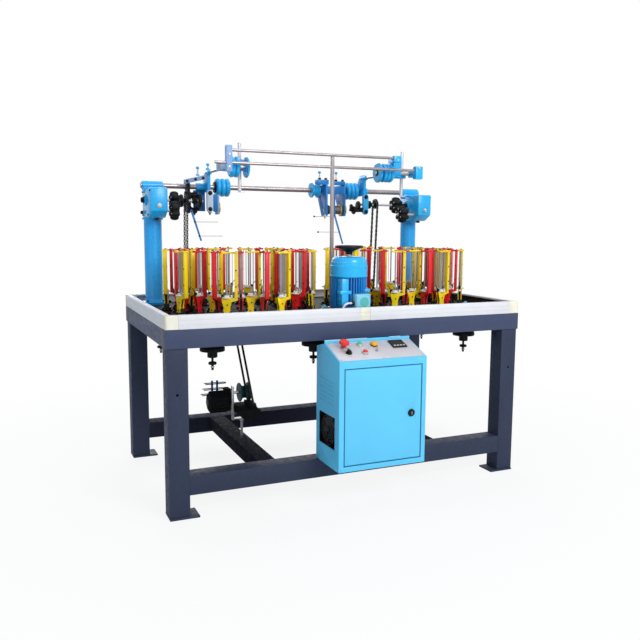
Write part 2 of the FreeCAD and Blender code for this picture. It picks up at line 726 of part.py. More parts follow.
def stop_lever(name, side, drop, pin_length, wires, disc_at=None):
    """Feeler lever: a flat bar that swings about Y, with its feeler wires."""
    pivot = LEVER_PIVOT[side]
    lean = V(0.305, 0, -0.952)
    across = V(0.952, 0, 0.305)
    corners = []
    for a, b in ((-5, -7), (5, -7), (5, drop), (-5, drop)):
        corners.append(pivot + lean * b + across * a)
    parts = [extrude(corners, V(0, 4, 0)), bar(pivot, V(0, 1, 0), pin_length, PIN_R)]
    for along_bar, start, end in wires:
        height = pivot + lean * along_bar
        wire = prism(V(0, 0, 0), 1.6, 6, end - start)
        parts.append(turn_to(wire, V(start, pivot.y + 2, height.z), V(1, 0, 0)))
    if disc_at is not None:
        disc = prism(V(0, 0, 0), 11.0, 12, 4.0)
        parts.append(turn_to(disc, V(disc_at, pivot.y + 2, (pivot + lean * wires[0][0]).z), V(1, 0, 0)))
    save(name, [fuse(parts)])


def arm_rod_hole(x):
    return bore(V(x, back(440), ARM_ROD_Z), V(0, 1, 0), 20.0, UPPER_ROD_R)


def upper_shaft_hole(x, length):
    radius = UPPER_SHAFT_R + RUNNING_GAP
    return bore(V(x, back(UPPER_SHAFT_BACK), UPPER_SHAFT_Z), V(1, 0, 0), length, radius)


def cross_rod_hole(x, length, z):
    return bore(V(x, back(UPPER_ROD_BACK), z), V(1, 0, 0), length, UPPER_ROD_R)


def upper_left_bracket():
    """Plate across the two rods, an arm back from it and the guide rod's clamp."""
    y = back(UPPER_ROD_BACK)
    shape = fuse([
        box(-488, -462, y - 12, y + 12, 1360, 1468),
        box(-488, -476, y - 12, back(446), 1372, 1402),
        box(-488, -386, back(426), back(446), 1372, 1404),
        box(-410, -386, back(384), back(426), 1372, 1420),
    ])
    for z in (ROD_A_Z, ROD_B_Z):
        shape = shape.cut(cross_rod_hole(-489, 40.0, z))
    shape = shape.cut(upper_shaft_hole(-489, 30.0)).cut(arm_rod_hole(TAKE_UP_X["left"]))
    return shape.cut(bore(V(GUIDE_ROD_X["left"], back(GUIDE_ROD_BACK), 1360), V(0, 0, 1), 70.0, GUIDE_ROD_R))


def upper_right_bracket():
    """Block on the upper rod's end, a plate down to the roller shaft and the rod clamps."""
    y = back(UPPER_ROD_BACK)
    shape = fuse([
        box(306, 343, y - 14, y + 16, 1431, 1459),
        box(331, 343, y + 16, back(392), 1433, 1457),
        box(343, 384, back(360), back(392), 1368, 1457),
        box(374, 424, back(384), back(416), 1366, 1394),
        box(376, 402, back(416), back(446), 1372, 1404),
    ])
    shape = shape.cut(cross_rod_hole(305, 40.0, ROD_A_Z)).cut(upper_shaft_hole(340, 50.0))
    shape = shape.cut(arm_rod_hole(TAKE_UP_X["right"]))
    return shape.cut(bore(V(GUIDE_ROD_X["right"], back(GUIDE_ROD_BACK), 1360), V(0, 0, 1), 70.0, GUIDE_ROD_R))


def rod_end_block():
    """Block on the lower rod's right end that also holds the end of the roller shaft."""
    y = back(UPPER_ROD_BACK)
    shape = fuse([box(421, 458, y - 14, y + 14, 1358, 1416), box(438, 458, y + 14, back(388), 1370, 1402)])
    return shape.cut(cross_rod_hole(420, 40.0, ROD_B_Z)).cut(upper_shaft_hole(430, 30.0))


def upper_gear():
    y = back(UPPER_ROD_BACK)
    arm_length = 334.0
    rods = [
        bar(V(-488, y, ROD_A_Z), V(1, 0, 0), 828.0, UPPER_ROD_R),
        bar(V(-535, y, ROD_B_Z), V(1, 0, 0), 985.0, UPPER_ROD_R),
        bar(V(TAKE_UP_X["left"], back(440), ARM_ROD_Z), V(0, 1, 0), arm_length, UPPER_ROD_R),
        bar(V(TAKE_UP_X["right"], back(440), ARM_ROD_Z), V(0, 1, 0), arm_length, UPPER_ROD_R),
    ]
    save("upper_rods", rods)

    uprights = []
    for x in GUIDE_ROD_X.values():
        length = GUIDE_ROD_TOP - GUIDE_ROD_BOTTOM
        foot = V(x, back(GUIDE_ROD_BACK), GUIDE_ROD_BOTTOM)
        stem = bar(foot, V(0, 0, 1), length, GUIDE_ROD_R)
        eye = box(x - 8, x + 22, foot.y - 5, foot.y + 5, GUIDE_ROD_BOTTOM - 4, GUIDE_ROD_BOTTOM)
        uprights.append(fuse([stem, eye]))
    post = bar(V(0, y, DECK_TOP), V(0, 0, 1), ROD_A_Z - UPPER_ROD_R - DECK_TOP, 9.0)
    uprights.append(post.cut(cross_rod_hole(-20, 40.0, ROD_B_Z)))
    save("guide_rods", uprights)

    save("upper_brackets", [upper_left_bracket(), upper_right_bracket(), rod_end_block()])

    axis = V(1, 0, 0)
    left = V(0, back(UPPER_SHAFT_BACK), UPPER_SHAFT_Z)
    save("upper_roller_left", [fuse([
        turn_to(grooved(40, ROLLER_R, 2), left + V(-452, 0, 0), axis),
        bar(left + V(-380, 0, 0), axis, 9.0, ROLLER_R, 16),
        bar(left + V(-488, 0, 0), axis, 122.0, UPPER_SHAFT_R),
    ])])
    save("upper_roller_right", [fuse([
        bar(left + V(261, 0, 0), axis, 12.0, ROLLER_R, 16),
        turn_to(grooved(54, ROLLER_R - 2, 3), left + V(283, 0, 0), axis),
        bar(left + V(256, 0, 0), axis, 202.0, UPPER_SHAFT_R),
    ])])


# ---- motor ---------------------------------------------------------------------
def motor():
    axis = V(MOTOR_X, back(MOTOR_BACK), 0)
    half_turn = 180.0 / MOTOR_FINS
    core = prism(axis + V(0, 0, DECK_TOP), MOTOR_R - 8, MOTOR_FINS, COWL_BOTTOM - DECK_TOP, half_turn)
    flange = prism(axis + V(0, 0, DECK_TOP), MOTOR_R + 14, 16, 14.0)
    skirt = prism(axis + V(0, 0, DECK_TOP + 14), MOTOR_R, MOTOR_FINS, 24.0, half_turn)
    parts = [core, flange, skirt]
    for i in range(MOTOR_FINS):
        fin = Part.makeBox(12.0, 3.0, COWL_BOTTOM - DECK_TOP - 38, V(MOTOR_R - 12, -1.5, DECK_TOP + 38))
        fin.rotate(V(0, 0, 0), V(0, 0, 1), 360.0 * i / MOTOR_FINS)
        fin.translate(axis)
        parts.append(fin)
    body = fuse(parts).cut(bore(axis + V(0, 0, COWL_BOTTOM - 60), V(0, 0, 1), 80.0, 8.0 + RUNNING_GAP))
    save("motor_body", [body])

    dome = COWL_TOP - COWL_BOTTOM
    outside = [
        (COWL_R, 0), (COWL_R, dome - 26), (COWL_R - 5, dome - 11),
        (COWL_R - 16, dome - 2), (COWL_R - 34, dome),
    ]
    inside = [(COWL_R - 6, 0), (COWL_R - 6, dome - 28), (COWL_R - 24, dome - 7)]
    cowl = lathe(outside, 20).cut(lathe(inside, 12)).cut(prism(V(0, 0, dome - 16), 10.0, 12, 20.0))
    cowl.translate(axis + V(0, 0, COWL_BOTTOM))
    save("motor_cowl", [cowl])

    rim_r = HANDWHEEL_R
    rings = [(16, 0), (16, 10), (rim_r - 9, 28), (rim_r, 27), (rim_r, 36), (rim_r - 7, 38), (20, 18)]
    whole = fuse([lathe(rings, 16), prism(V(0, 0, -138), 8.0, 8, 139.0)])
    whole.translate(axis + V(0, 0, COWL_TOP + 9))
    save("handwheel", [whole])

    terminal = box(-10, 62, back(RIM_WIDTH + 4), back(MOTOR_BACK - 60), 790, 854)
    terminal = terminal.cut(prism(axis + V(0, 0, 780), MOTOR_R + 2, MOTOR_FINS, 90.0, half_turn))
    save("terminal_box", [terminal])

    start = V(-10, back(44), 816)
    bend = start + V(-24, 0, 0)
    points = [start]
    for i in range(6):
        angle = math.radians(18.0 * i)
        points.append(bend + V(-CONDUIT_BEND * math.sin(angle), 0, CONDUIT_BEND * (math.cos(angle) - 1)))
    points.append(V(points[-1].x, points[-1].y, DECK_TOP))
    pieces = []
    for a, b in zip(points, points[1:]):
        pieces.append(turn_to(prism(V(0, 0, 0), CONDUIT_R, 8, (b - a).Length, 22.5), a, b - a))
    save("motor_conduit", [fuse(pieces)])


# ---- cabinet -------------------------------------------------------------------
def cabinet_outline(inset):
    slope = inset * 0.19
    front = CABINET_FRONT + inset
    rear = CABINET_BACK - inset
    return [
        (front, STRETCHER_TOP + inset), (front, CABINET_FRONT_TOP - inset + slope),
        (CABINET_RIDGE_BACK, CABINET_RIDGE - inset * 1.06),
        (rear, CABINET_BACK_TOP - inset - slope), (rear, STRETCHER_TOP + inset),
    ]


PANEL_TILT = math.atan2(CABINET_RIDGE - CABINET_FRONT_TOP, CABINET_RIDGE_BACK - CABINET_FRONT)
PANEL_NORMAL = V(0, -math.sin(PANEL_TILT), math.cos(PANEL_TILT))
PANEL_THICKNESS = 2.0


def on_panel(x, up_slope, above=PANEL_THICKNESS):
    """A point on the sloping panel, from the front edge up the slope."""
    d = CABINET_FRONT + up_slope * math.cos(PANEL_TILT)
    z = CABINET_FRONT_TOP + up_slope * math.sin(PANEL_TILT)
    return V(x, back(d), z) + PANEL_NORMAL * above


FAN_BACK = -67.0
FAN_Z = 316.0
FAN_HALF_DEPTH = 78.0
FAN_HALF_HEIGHT = 66.0


def fan_box(x0, x1, margin):
    """Block as large as the fan window and a margin round it."""
    y = back(FAN_BACK)
    half_depth = FAN_HALF_DEPTH + margin
    half_height = FAN_HALF_HEIGHT + margin
    return box(x0, x1, y - half_depth, y + half_depth, FAN_Z - half_height, FAN_Z + half_height)


def cabinet():
    shell = plate_yz(cabinet_outline(0), CABINET_LEFT, CABINET_RIGHT)
    hollow = plate_yz(cabinet_outline(SHEET), CABINET_LEFT + SHEET, CABINET_RIGHT - SHEET)
    face = back(CABINET_FRONT)
    doorway = box(DOOR_LEFT, DOOR_RIGHT, face - 1, face + SHEET + 1, DOOR_BOTTOM, DOOR_TOP)
    window = fan_box(CABINET_LEFT - 1, CABINET_LEFT + SHEET + 1, 0.0)
    save("cabinet_shell", [shell.cut(hollow).cut(doorway).cut(window)])

    guard = fan_box(CABINET_LEFT + SHEET, CABINET_LEFT + SHEET + 30, 6.0)
    rear = back(CABINET_BACK - SHEET)
    rail = rear - 14
    plate = box(-160, 186, rail, rear, 200, 600)
    drive = box(-40, 60, rail - 80, rail, 400, 560)
    contactors = [box(x, x + 44, rail - 60, rail, 300, 370) for x in (-60, -10, 40, 90)]
    terminals = box(-120, 150, rail - 30, rail, 220, 250)
    save("control_gear", [guard, plate, drive, terminals] + contactors)

    across = (DOOR_LEFT + DOOR_GAP, DOOR_RIGHT - DOOR_GAP)
    upright = (DOOR_BOTTOM + DOOR_GAP, DOOR_TOP - DOOR_GAP)
    inner_face = face + DOOR_THICKNESS
    lock_hole = bore(V(LOCK_X, face - 1, LOCK_Z), V(0, 1, 0), DOOR_THICKNESS + 2, LOCK_R + RUNNING_GAP)
    save("cabinet_door", [box(*across, face, inner_face, *upright).cut(lock_hole)])
    lock = fuse([
        bar(V(LOCK_X, face - 8, LOCK_Z), V(0, 1, 0), 7.7, LOCK_R + 6),
        bar(V(LOCK_X, face - 1, LOCK_Z), V(0, 1, 0), DOOR_THICKNESS + 7, LOCK_R),
        box(LOCK_X - 7, LOCK_X + 34, inner_face + 2, inner_face + 5, LOCK_Z - 7, LOCK_Z + 7),
    ])
    save("door_lock", [lock])

    x0 = CABINET_LEFT + 5
    x1 = CABINET_RIGHT - 5
    corners = [on_panel(x, s, 0.0) for x, s in ((x0, 6.0), (x1, 6.0), (x1, 150.0), (x0, 150.0))]
    panel = extrude(corners, PANEL_NORMAL * PANEL_THICKNESS)

    frame_corners = [on_panel(x, s) for x, s in ((95, 80), (161, 80), (161, 138), (95, 138))]
    display = extrude(frame_corners, PANEL_NORMAL * 5.0)
    lamp = lathe([(13, 0), (13, 4), (11, 5), (11, 14), (7, 20)], 12)
    collar = lathe([(14, 0), (14, 4)], 12).cut(lathe([(10.5, 0), (10.5, 4)], 12))
    fittings = [panel, display, turn_to(lamp, on_panel(21, 114), PANEL_NORMAL)]
    for x, s in ((-41, 122), (-47, 55), (-121, 106)):
        fittings.append(turn_to(collar, on_panel(x, s), PANEL_NORMAL))
    nut = prism(V(0, 0, 0), 8.0, 6, 2.0).cut(prism(V(0, 0, 0), 5.0, 6, 2.0))
    fittings.append(turn_to(nut, on_panel(12, 68), PANEL_NORMAL))
    save("control_panel", fittings)

    push = lathe([(8, 0), (10, 1), (10, 8), (8, 10)], 12)
    save("start_button", [turn_to(push, on_panel(-41, 122, PANEL_THICKNESS + 3), PANEL_NORMAL)])
    save("stop_button", [turn_to(push, on_panel(-47, 55, PANEL_THICKNESS + 3), PANEL_NORMAL)])
    mushroom = lathe([(9, 0), (9, 16), (20, 19), (21, 25), (16, 31), (6, 34)], 16)
    save("emergency_stop", [turn_to(mushroom, on_panel(-121, 106, PANEL_THICKNESS + 6), PANEL_NORMAL)])
    knob = fuse([lathe([(14, 0), (14, 8)], 16), Part.makeBox(10, 26, 12, V(-5, -13, 8))])
    save("selector_knob", [turn_to(knob, on_panel(-119, 56, PANEL_THICKNESS + 0.3), PANEL_NORMAL)])
    toggle = lathe([(2.4, 0), (2.0, 6), (3.4, 18)], 8)
    save("toggle_switch", [turn_to(toggle, on_panel(12, 68, PANEL_THICKNESS + 2.5), PANEL_NORMAL)])


# ---- below the table -----------------------------------------------------------
def lower_belt():
    """The belt's two strands, from the guard up to the gear base plate."""
    foot_back, foot_z = BELT_FOOT
    rise = GEAR_BASE_BOTTOM - foot_z
    shift = rise * math.tan(BELT_LEAN)
    half = BELT_DEPTH / 2 / math.cos(BELT_LEAN)
    strands = []
    for side in (-1, 1):
        d = foot_back + side * BELT_STRAND_GAP / math.cos(BELT_LEAN)
        outline = [
            (d - half, foot_z), (d + half, foot_z),
            (d + half + shift, GEAR_BASE_BOTTOM), (d - half + shift, GEAR_BASE_BOTTOM),
        ]
        strands.append(plate_yz(outline, LOWER_X - BELT_WIDTH / 2, LOWER_X + BELT_WIDTH / 2))
    return strands


# (x, distance behind the front) of the bearings under the gear base plate
BEARINGS = ((-580, 206), (-133, 190), (-694, 700), (660, 210), (690, 640), (194, 206))


def below():
    stem = [(5, 0), (5, 23), (17, 25), (17, 33), (5, 35), (5, 52)]
    profile = stem + [(21, 54), (21, 78), (52, 80), (52, 95), (27, 142)]
    housings = []
    for x, distance in BEARINGS:
        shape = lathe(profile, 6)
        shape.translate(V(x, back(distance), GEAR_BASE_BOTTOM - profile[-1][1]))
        housings.append(shape)
    save("under_bearings", housings)

    y = back(LOWER_BACK)
    axis = V(1, 0, 0)
    stud = prism(V(-386, y, STRETCHER_TOP), 6.0, 8, STRIP_BOTTOM - STRETCHER_TOP)
    foot = box(STRIP_X, -361, y - 15, y + 15, STRIP_BOTTOM, STRIP_BOTTOM + 5)
    strip = box(STRIP_X, STRIP_X + 5, y - 15, y + 15, STRIP_BOTTOM, LOWER_SHAFT_Z + 30)
    bracket = fuse([stud, foot, strip])
    bracket = bracket.cut(bore(V(STRIP_X - 1, y, LOWER_SHAFT_Z), axis, 8.0, LOWER_SHAFT_R + RUNNING_GAP))
    save("tension_bracket", [bracket])

    motor_length = 110.0
    motor_z = 350.0
    motor_x = STRIP_X - motor_length
    body = bar(V(motor_x, y, motor_z), axis, motor_length - 26, 50.0, 16)
    gearbox = box(STRIP_X - 30, STRIP_X, y - 44, y + 44, motor_z - 48, motor_z + 56)
    posts = [prism(V(x, y, motor_z + 40), 5.0, 8, 58.0) for x in (-523, -500)]
    shaft_hole = bore(V(STRIP_X - 24, y, LOWER_SHAFT_Z), axis, 30.0, LOWER_SHAFT_R + RUNNING_GAP)
    gear_motor = fuse([body, gearbox] + posts).cut(shaft_hole)
    outline = [(252, 300), (440, 300), (440, 338), (385, 338), (372, BELT_FOOT[1]), (262, BELT_FOOT[1])]
    guard = plate_yz(outline, STRIP_X + 5, LOWER_X + 24)
    save("gear_motor", [gear_motor, guard])

    r = LOWER_PULLEY_R
    waist = 19.0
    spool = lathe([(r, 0), (r, 5), (waist, 16), (waist, 32), (r, 43), (r, 48)], 16)
    shaft_from = STRIP_X - 23
    pulley = fuse([
        turn_to(spool, V(LOWER_X - 24, y, LOWER_SHAFT_Z), axis),
        bar(V(shaft_from, y, LOWER_SHAFT_Z), axis, LOWER_X + 30 - shaft_from, LOWER_SHAFT_R),
    ])
    save("lower_pulley", [pulley])

    brackets = []
    for side in (-1, 1):
        for step in (-1.0, 1.5, 4.0, -4.0):
            place, along, outward = on_ring(side, step, RING_R + GEAR_R + 46)
            foot = box(-16, 16, -9, 9, 0, 5)
            bolt = prism(V(0, 0, 5), 7.0, 6, 7.0)
            brackets.append(place_carrier(fuse([foot, bolt]), place, along))
    save("hold_down_brackets", brackets)


frame()
rim()
track()
carriers()
columns()
left_collars = ((-578.0, -566.0, 30.0), (-490.0, -478.0, 33.0))
right_collars = ((610.0, 652.0, 10.0),)
drive_shaft("drive_shaft_left", -1, -466.0, (-625.0, -585.0), (CHAIN_X["left"], -508.0), left_collars)
drive_shaft("drive_shaft_right", 1, 360.0, (562.0, 610.0), (CHAIN_X["right"], 428.0), right_collars)
clutch_knob("clutch_knob_left", -1, -641.0, -601.0)
clutch_knob("clutch_knob_right", 1, 560.0, 608.0)
chains()
take_up()
pressure_screw("pressure_screw_1", -494.0, back(751), 1370.0, 1400.0)
pressure_screw("pressure_screw_2", -441.0, back(765), 1402.3, 1418.0)
pressure_screw("pressure_screw_3", 136.0, back(756), 1372.3, 1402.0)
pressure_screw("pressure_screw_4", 229.0, back(756), 1366.3, 1402.0)
stop_lever("stop_lever_left", -1, 147.0, 64.0, ((53.0, -518.0, -402.0), (123.0, -497.0, -380.0)))
stop_lever("stop_lever_right", 1, 155.0, 16.0, ((10.0, 90.0, 206.0), (92.0, 112.0, 230.0)), 150.0)
upper_gear()
motor()
cabinet()
below()
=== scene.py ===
"""Studio view of a two-head kumihimo braiding machine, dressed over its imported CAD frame."""

from math import acos, atan2, cos, pi, radians, sin, sqrt, tan

import bmesh
import bpy
from mathutils import Matrix, Vector


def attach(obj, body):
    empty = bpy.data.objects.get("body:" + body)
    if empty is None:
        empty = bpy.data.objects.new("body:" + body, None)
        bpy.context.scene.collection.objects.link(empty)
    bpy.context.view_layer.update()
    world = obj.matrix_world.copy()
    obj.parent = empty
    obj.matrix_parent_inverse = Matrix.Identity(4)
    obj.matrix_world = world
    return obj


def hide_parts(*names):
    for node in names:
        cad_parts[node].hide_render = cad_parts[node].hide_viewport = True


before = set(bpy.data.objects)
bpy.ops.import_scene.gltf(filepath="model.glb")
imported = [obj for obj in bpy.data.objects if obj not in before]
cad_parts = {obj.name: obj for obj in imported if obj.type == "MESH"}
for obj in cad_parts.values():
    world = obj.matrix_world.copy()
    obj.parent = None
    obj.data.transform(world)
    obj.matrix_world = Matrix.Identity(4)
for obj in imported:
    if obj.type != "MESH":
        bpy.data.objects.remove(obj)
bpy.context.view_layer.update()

# Driving dimensions, in millimetres, with depths counted from the rim's front face.
MM = 0.001
FRONT = -373.0
TABLE_LENGTH, TABLE_DEPTH = 1630.0, 940.0
RIM_WIDTH, RIM_CORNER = 24.0, 53.0
BEAM, BEAM_CAP, BEAM_INSET, BEAM_BOTTOM = 85.0, 3.0, 1.0, 672.0
BEAM_TOP, DECK_TOP, RIM_TOP = 746.0, 760.0, 800.0
GEAR_BASE_BOTTOM, GEAR_BASE_TOP = 684.0, 694.0
HEAD_X, HEAD_BACK = 387.0, 430.0
GEARS = 18
RING_R = 278.0
RING_PHASE = -7.0
GEAR_R = RING_R * sin(pi / GEARS)
SLOT_WIDTH = 12.0
CARRIER_TOP, SHELF_TOP = 272.0, 84.0
ARM_INNER, ARM_OUTER, ARM_HALF = 32.5, 44.0, 9.2
SHAFT_BACK, SHAFT_Z = 765.0, 1252.0
KNOB_BACK, KNOB_Z = 690.0, 1203.0
MAIN_BACK, MAIN_Z, MAIN_R = 815.0, 1322.0, 12.5
COLUMN_X, COLUMN_BACK, COLUMN_R = 697.0, 820.0, 41.5
GEARBOX_HALF, GEARBOX_BOTTOM = 39.0, 1170.0
CHAIN_X = (-549.0, 462.0)
CHAIN_FOOT = (800.0, 735.0)
TAKE_UP_X, TAKE_UP_FACE = (-441.0, 389.0), 728.0
GUIDE_ROD_X, GUIDE_ROD_BACK = (-397.0, 409.0), 400.0
ROD_BACK, ROD_A_Z, ROD_B_Z, ROD_R = 300.0, 1449.0, 1397.0, 6.5
ARM_ROD_Z = 1388.0
UPPER_BACK, UPPER_Z, ROLLER_R = 372.0, 1386.0, 45.0
PRESS_BACK, PRESS_Z = 760.0, 1222.0
MOTOR_X, MOTOR_BACK, MOTOR_R, COWL_R = 5.0, 130.0, 78.0, 80.0
COWL_BOTTOM, COWL_TOP = 923.0, 1009.0
PANEL_FRONT, PANEL_FRONT_Z = -186.0, 613.0
PANEL_TILT = atan2(54.0, 146.0)
PANEL_NORMAL = Vector((0, -sin(PANEL_TILT), cos(PANEL_TILT)))
LOCK_X, LOCK_Z = 141.0, 385.0
# Places on the panel: x and the distance up its slope.
DISPLAY, LAMP, SELECTOR, TOGGLE = (128, 109), (21, 114), (-119, 56), (12, 68)
START, STOP, EMERGENCY = (-41, 122), (-47, 55), (-121, 106)
LOWER_X, LOWER_BACK, LOWER_Z = -375.0, 430.0, 385.0
STRIP_X = -432.0
BELT_FOOT, BELT_LEAN, BELT_GAP = (318.0, 340.0), radians(34.0), 33.0
BEARINGS = ((-580, 206), (-133, 190), (-694, 700), (660, 210), (690, 640), (194, 206))
UP, RIGHT, IN = Vector((0, 0, 1)), Vector((1, 0, 0)), Vector((0, 1, 0))
SMOOTH_UNDER = radians(32.0)


def at(x, depth, z):
    """A point from its depth behind the rim's front face."""
    return Vector((x, FRONT + depth, z))


# ---- forms -------------------------------------------------------------------
def stand(origin, z_axis, x_axis=None):
    """Matrix that stands a form made about +Z on origin, along z_axis."""
    z = z_axis.normalized()
    if x_axis is None:
        x_axis = RIGHT if abs(z.x) < 0.9 else IN
    x = (x_axis - z * x_axis.dot(z)).normalized()
    m = Matrix((x, z.cross(x), z)).transposed().to_4x4()
    m.translation = origin
    return m


def on_axis(x, depth, z):
    """Matrix for a form that is turned about a shaft along X."""
    return stand(at(x, depth, z), RIGHT)


def lift(x, depth, z=0.0):
    """Matrix for an upright form."""
    return Matrix.Translation(at(x, depth, z))


def shift(x, y, z=0.0):
    return Matrix.Translation((x, y, z))


def spin(part, count, axis="Z"):
    """Matrix for one of count equal steps round an axis."""
    return Matrix.Rotation(2 * pi * part / count, 4, axis)


def ngon(radius, sides=6, turn=0.0):
    step = 2 * pi / sides
    return [(radius * cos(turn + step * i), radius * sin(turn + step * i)) for i in range(sides)]


class Form:
    """Geometry of one object, in millimetres, with a material number on each face."""

    def __init__(self):
        self.verts, self.faces, self.mats = [], [], []

    def add(self, verts, faces, mat=0, matrix=None):
        base = len(self.verts)
        self.verts += [matrix @ v for v in verts] if matrix else list(verts)
        self.faces += [tuple(base + i for i in f) for f in faces]
        self.mats += [mat] * len(faces)
        return self

    def join(self, other, matrix):
        self.add(other.verts, other.faces, 0, matrix)
        self.mats[-len(other.mats):] = other.mats

    def mesh(self, bm, mat=0, matrix=None):
        bm.verts.index_update()
        verts = [v.co.copy() for v in bm.verts]
        faces = [[v.index for v in f.verts] for f in bm.faces]
        bm.free()
        return self.add(verts, faces, mat, matrix)

    def prism(self, outline, low, high, mat=0, matrix=None, bevel=0.0):
        """Outline in XY, drawn up from low to high, with rounded edges."""
        bm = bmesh.new()
        bottom = [bm.verts.new((x, y, low)) for x, y in outline]
        top = [bm.verts.new((x, y, high)) for x, y in outline]
        bm.faces.new(bottom[::-1])
        bm.faces.new(top)
        for i in range(len(outline)):
            k = (i + 1) % len(outline)
            bm.faces.new((bottom[i], bottom[k], top[k], top[i]))
        bmesh.ops.recalc_face_normals(bm, faces=bm.faces)
        round_edges(bm, bevel)
        return self.mesh(bm, mat, matrix)

    def plate(self, outline, x0, x1, mat=0, bevel=1.0):
        """Plate across X from an outline of (depth, z)."""
        m = Matrix(((0, 0, 1, x0), (1, 0, 0, FRONT), (0, 1, 0, 0), (0, 0, 0, 1)))
        return self.prism(outline, 0, x1 - x0, mat, m, bevel)

    def box(self, size, mat=0, matrix=None, bevel=0.0):
        x, y, z = (s / 2 for s in size)
        return self.prism([(-x, -y), (x, -y), (x, y), (-x, y)], -z, z, mat, matrix, bevel)

    def block(self, x0, x1, d0, d1, z0, z1, mat=0, bevel=1.5):
        """Box between two depths and two heights."""
        centre = lift((x0 + x1) / 2, (d0 + d1) / 2, (z0 + z1) / 2)
        return self.box((abs(x1 - x0), abs(d1 - d0), abs(z1 - z0)), mat, centre, bevel)

    def lathe(self, profile, mat=0, matrix=None, turns=40):
        """Revolve (radius, height) points about Z; radius 0 closes an end."""
        verts, faces, rings = [], [], []
        for r, z in profile:
            count = turns if r else 1
            rings.append([len(verts) + i for i in range(count)])
            for i in range(count):
                a = 2 * pi * i / turns
                verts.append(Vector((r * cos(a), r * sin(a), z)))
        for low, high in zip(rings, rings[1:]):
            for i in range(turns):
                low_pair = (low[i % len(low)], low[(i + 1) % turns % len(low)])
                high_pair = (high[(i + 1) % turns % len(high)], high[i % len(high)])
                faces.append(tuple(dict.fromkeys(low_pair + high_pair)))
        return self.add(verts, faces, mat, matrix)

    def disc(self, radius, low, high, mat=0, matrix=None, chamfer=1.0, turns=32):
        """Turned disc with chamfered rims."""
        c, face = chamfer, radius - chamfer
        profile = [(0, low), (face, low), (radius, low + c), (radius, high - c), (face, high), (0, high)]
        return self.lathe(profile, mat, matrix, turns)

    def rod(self, start, end, radius, mat=0, chamfer=0.6, turns=24):
        """Round bar with small chamfers."""
        length = (end - start).length
        c = min(chamfer, radius * 0.5, length * 0.3)
        return self.disc(radius, 0, length, mat, stand(start, end - start), c, turns)

    def bar(self, x0, x1, depth, z, radius, mat=0, chamfer=0.6, turns=24):
        """Round bar along X."""
        return self.rod(at(x0, depth, z), at(x1, depth, z), radius, mat, chamfer, turns)

    def tube(self, points, radius, mat=0, sides=10):
        """Round section swept along a line of points."""
        side = None
        verts, faces = [], []
        for i, p in enumerate(points):
            t = (points[min(i + 1, len(points) - 1)] - points[max(i - 1, 0)]).normalized()
            if side is None:
                side = t.cross(UP if abs(t.z) < 0.9 else RIGHT).normalized()
            side = (side - t * side.dot(t)).normalized()
            other = t.cross(side)
            verts += [p + side * u + other * v for u, v in ngon(radius, sides)]
        last = (len(points) - 1) * sides
        for i in range(0, last, sides):
            for k in range(sides):
                m = (k + 1) % sides
                faces.append((i + k, i + m, i + sides + m, i + sides + k))
        faces.append(tuple(range(sides))[::-1])
        faces.append(tuple(range(last, last + sides)))
        return self.add(verts, faces, mat)


def round_edges(bm, width, segments=2):
    """Bevel every edge that turns by more than 28 degrees."""
    if width <= 0:
        return
    edges = [e for e in bm.edges if len(e.link_faces) == 2 and e.calc_face_angle() > radians(28.0)]
    bmesh.ops.bevel(
        bm, geom=edges, offset=width, offset_type="OFFSET", segments=segments, profile=0.5,
        affect="EDGES", clamp_overlap=True,
    )


def build(name, form, materials, slot, body="frame", nodes=()):
    """Make the object of a form."""
    mesh = bpy.data.meshes.new(name)
    mesh.from_pydata([v * MM for v in form.verts], [], form.faces)
    mesh.polygons.foreach_set("material_index", form.mats)
    bm = bmesh.new()
    bm.from_mesh(mesh)
    bmesh.ops.recalc_face_normals(bm, faces=bm.faces)
    finish_piece(name, mesh, bm, materials, slot, body, nodes)


def finished(node, form, materials, slot, body=None):
    """Make the object that stands for one CAD node. Its body has the node's own name
    unless another is given."""
    build(node + "_finished", form, materials, slot, body or node, (node,))


def finish_piece(name, mesh, bm, materials, slot, body, nodes):
    """Shade the mesh, put it on its body and let it stand for its CAD nodes."""
    bm.to_mesh(mesh)
    bm.free()
    for material in materials:
        mesh.materials.append(material)
    mesh.polygons.foreach_set("use_smooth", [True] * len(mesh.polygons))
    mesh.set_sharp_from_angle(angle=SMOOTH_UNDER)
    mesh.update()
    obj = bpy.data.objects.new(name, mesh)
    bpy.context.scene.collection.objects.link(obj)
    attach(obj, body)
    if nodes:
        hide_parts(*nodes)


def solids_of(bm):
    """The faces of each separate solid of a mesh."""
    left = set(bm.faces)
    while left:
        found = {left.pop()}
        ahead = list(found)
        while ahead:
            near = {f for e in ahead.pop().edges for f in e.link_faces} & left
            left -= near
            found |= near
            ahead += near
        yield found


def dress(node, materials, width, slot, pick=None, segments=2, body="frame"):
    """Copy a CAD node, round its edges and give it its finish. Where pick is given, it
    chooses a material number from the middle of each solid: its x, depth and height."""
    mesh = bpy.data.meshes.new(node + "_finished")
    bm = bmesh.new()
    bm.from_mesh(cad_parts[node].data)
    bmesh.ops.remove_doubles(bm, verts=bm.verts, dist=2e-6)
    bmesh.ops.dissolve_limit(bm, angle_limit=radians(0.6), verts=bm.verts, edges=bm.edges)
    bmesh.ops.recalc_face_normals(bm, faces=bm.faces)
    for faces in solids_of(bm):
        corners = [v.co / MM for f in faces for v in f.verts]
        x, y, z = [(min(axis) + max(axis)) / 2 for axis in zip(*corners)]
        number = int(pick(x, y - FRONT, z)) if pick else 0
        for face in faces:
            face.material_index = number
    round_edges(bm, width * MM, segments)
    finish_piece(node + "_finished", mesh, bm, materials, slot, body, (node,))


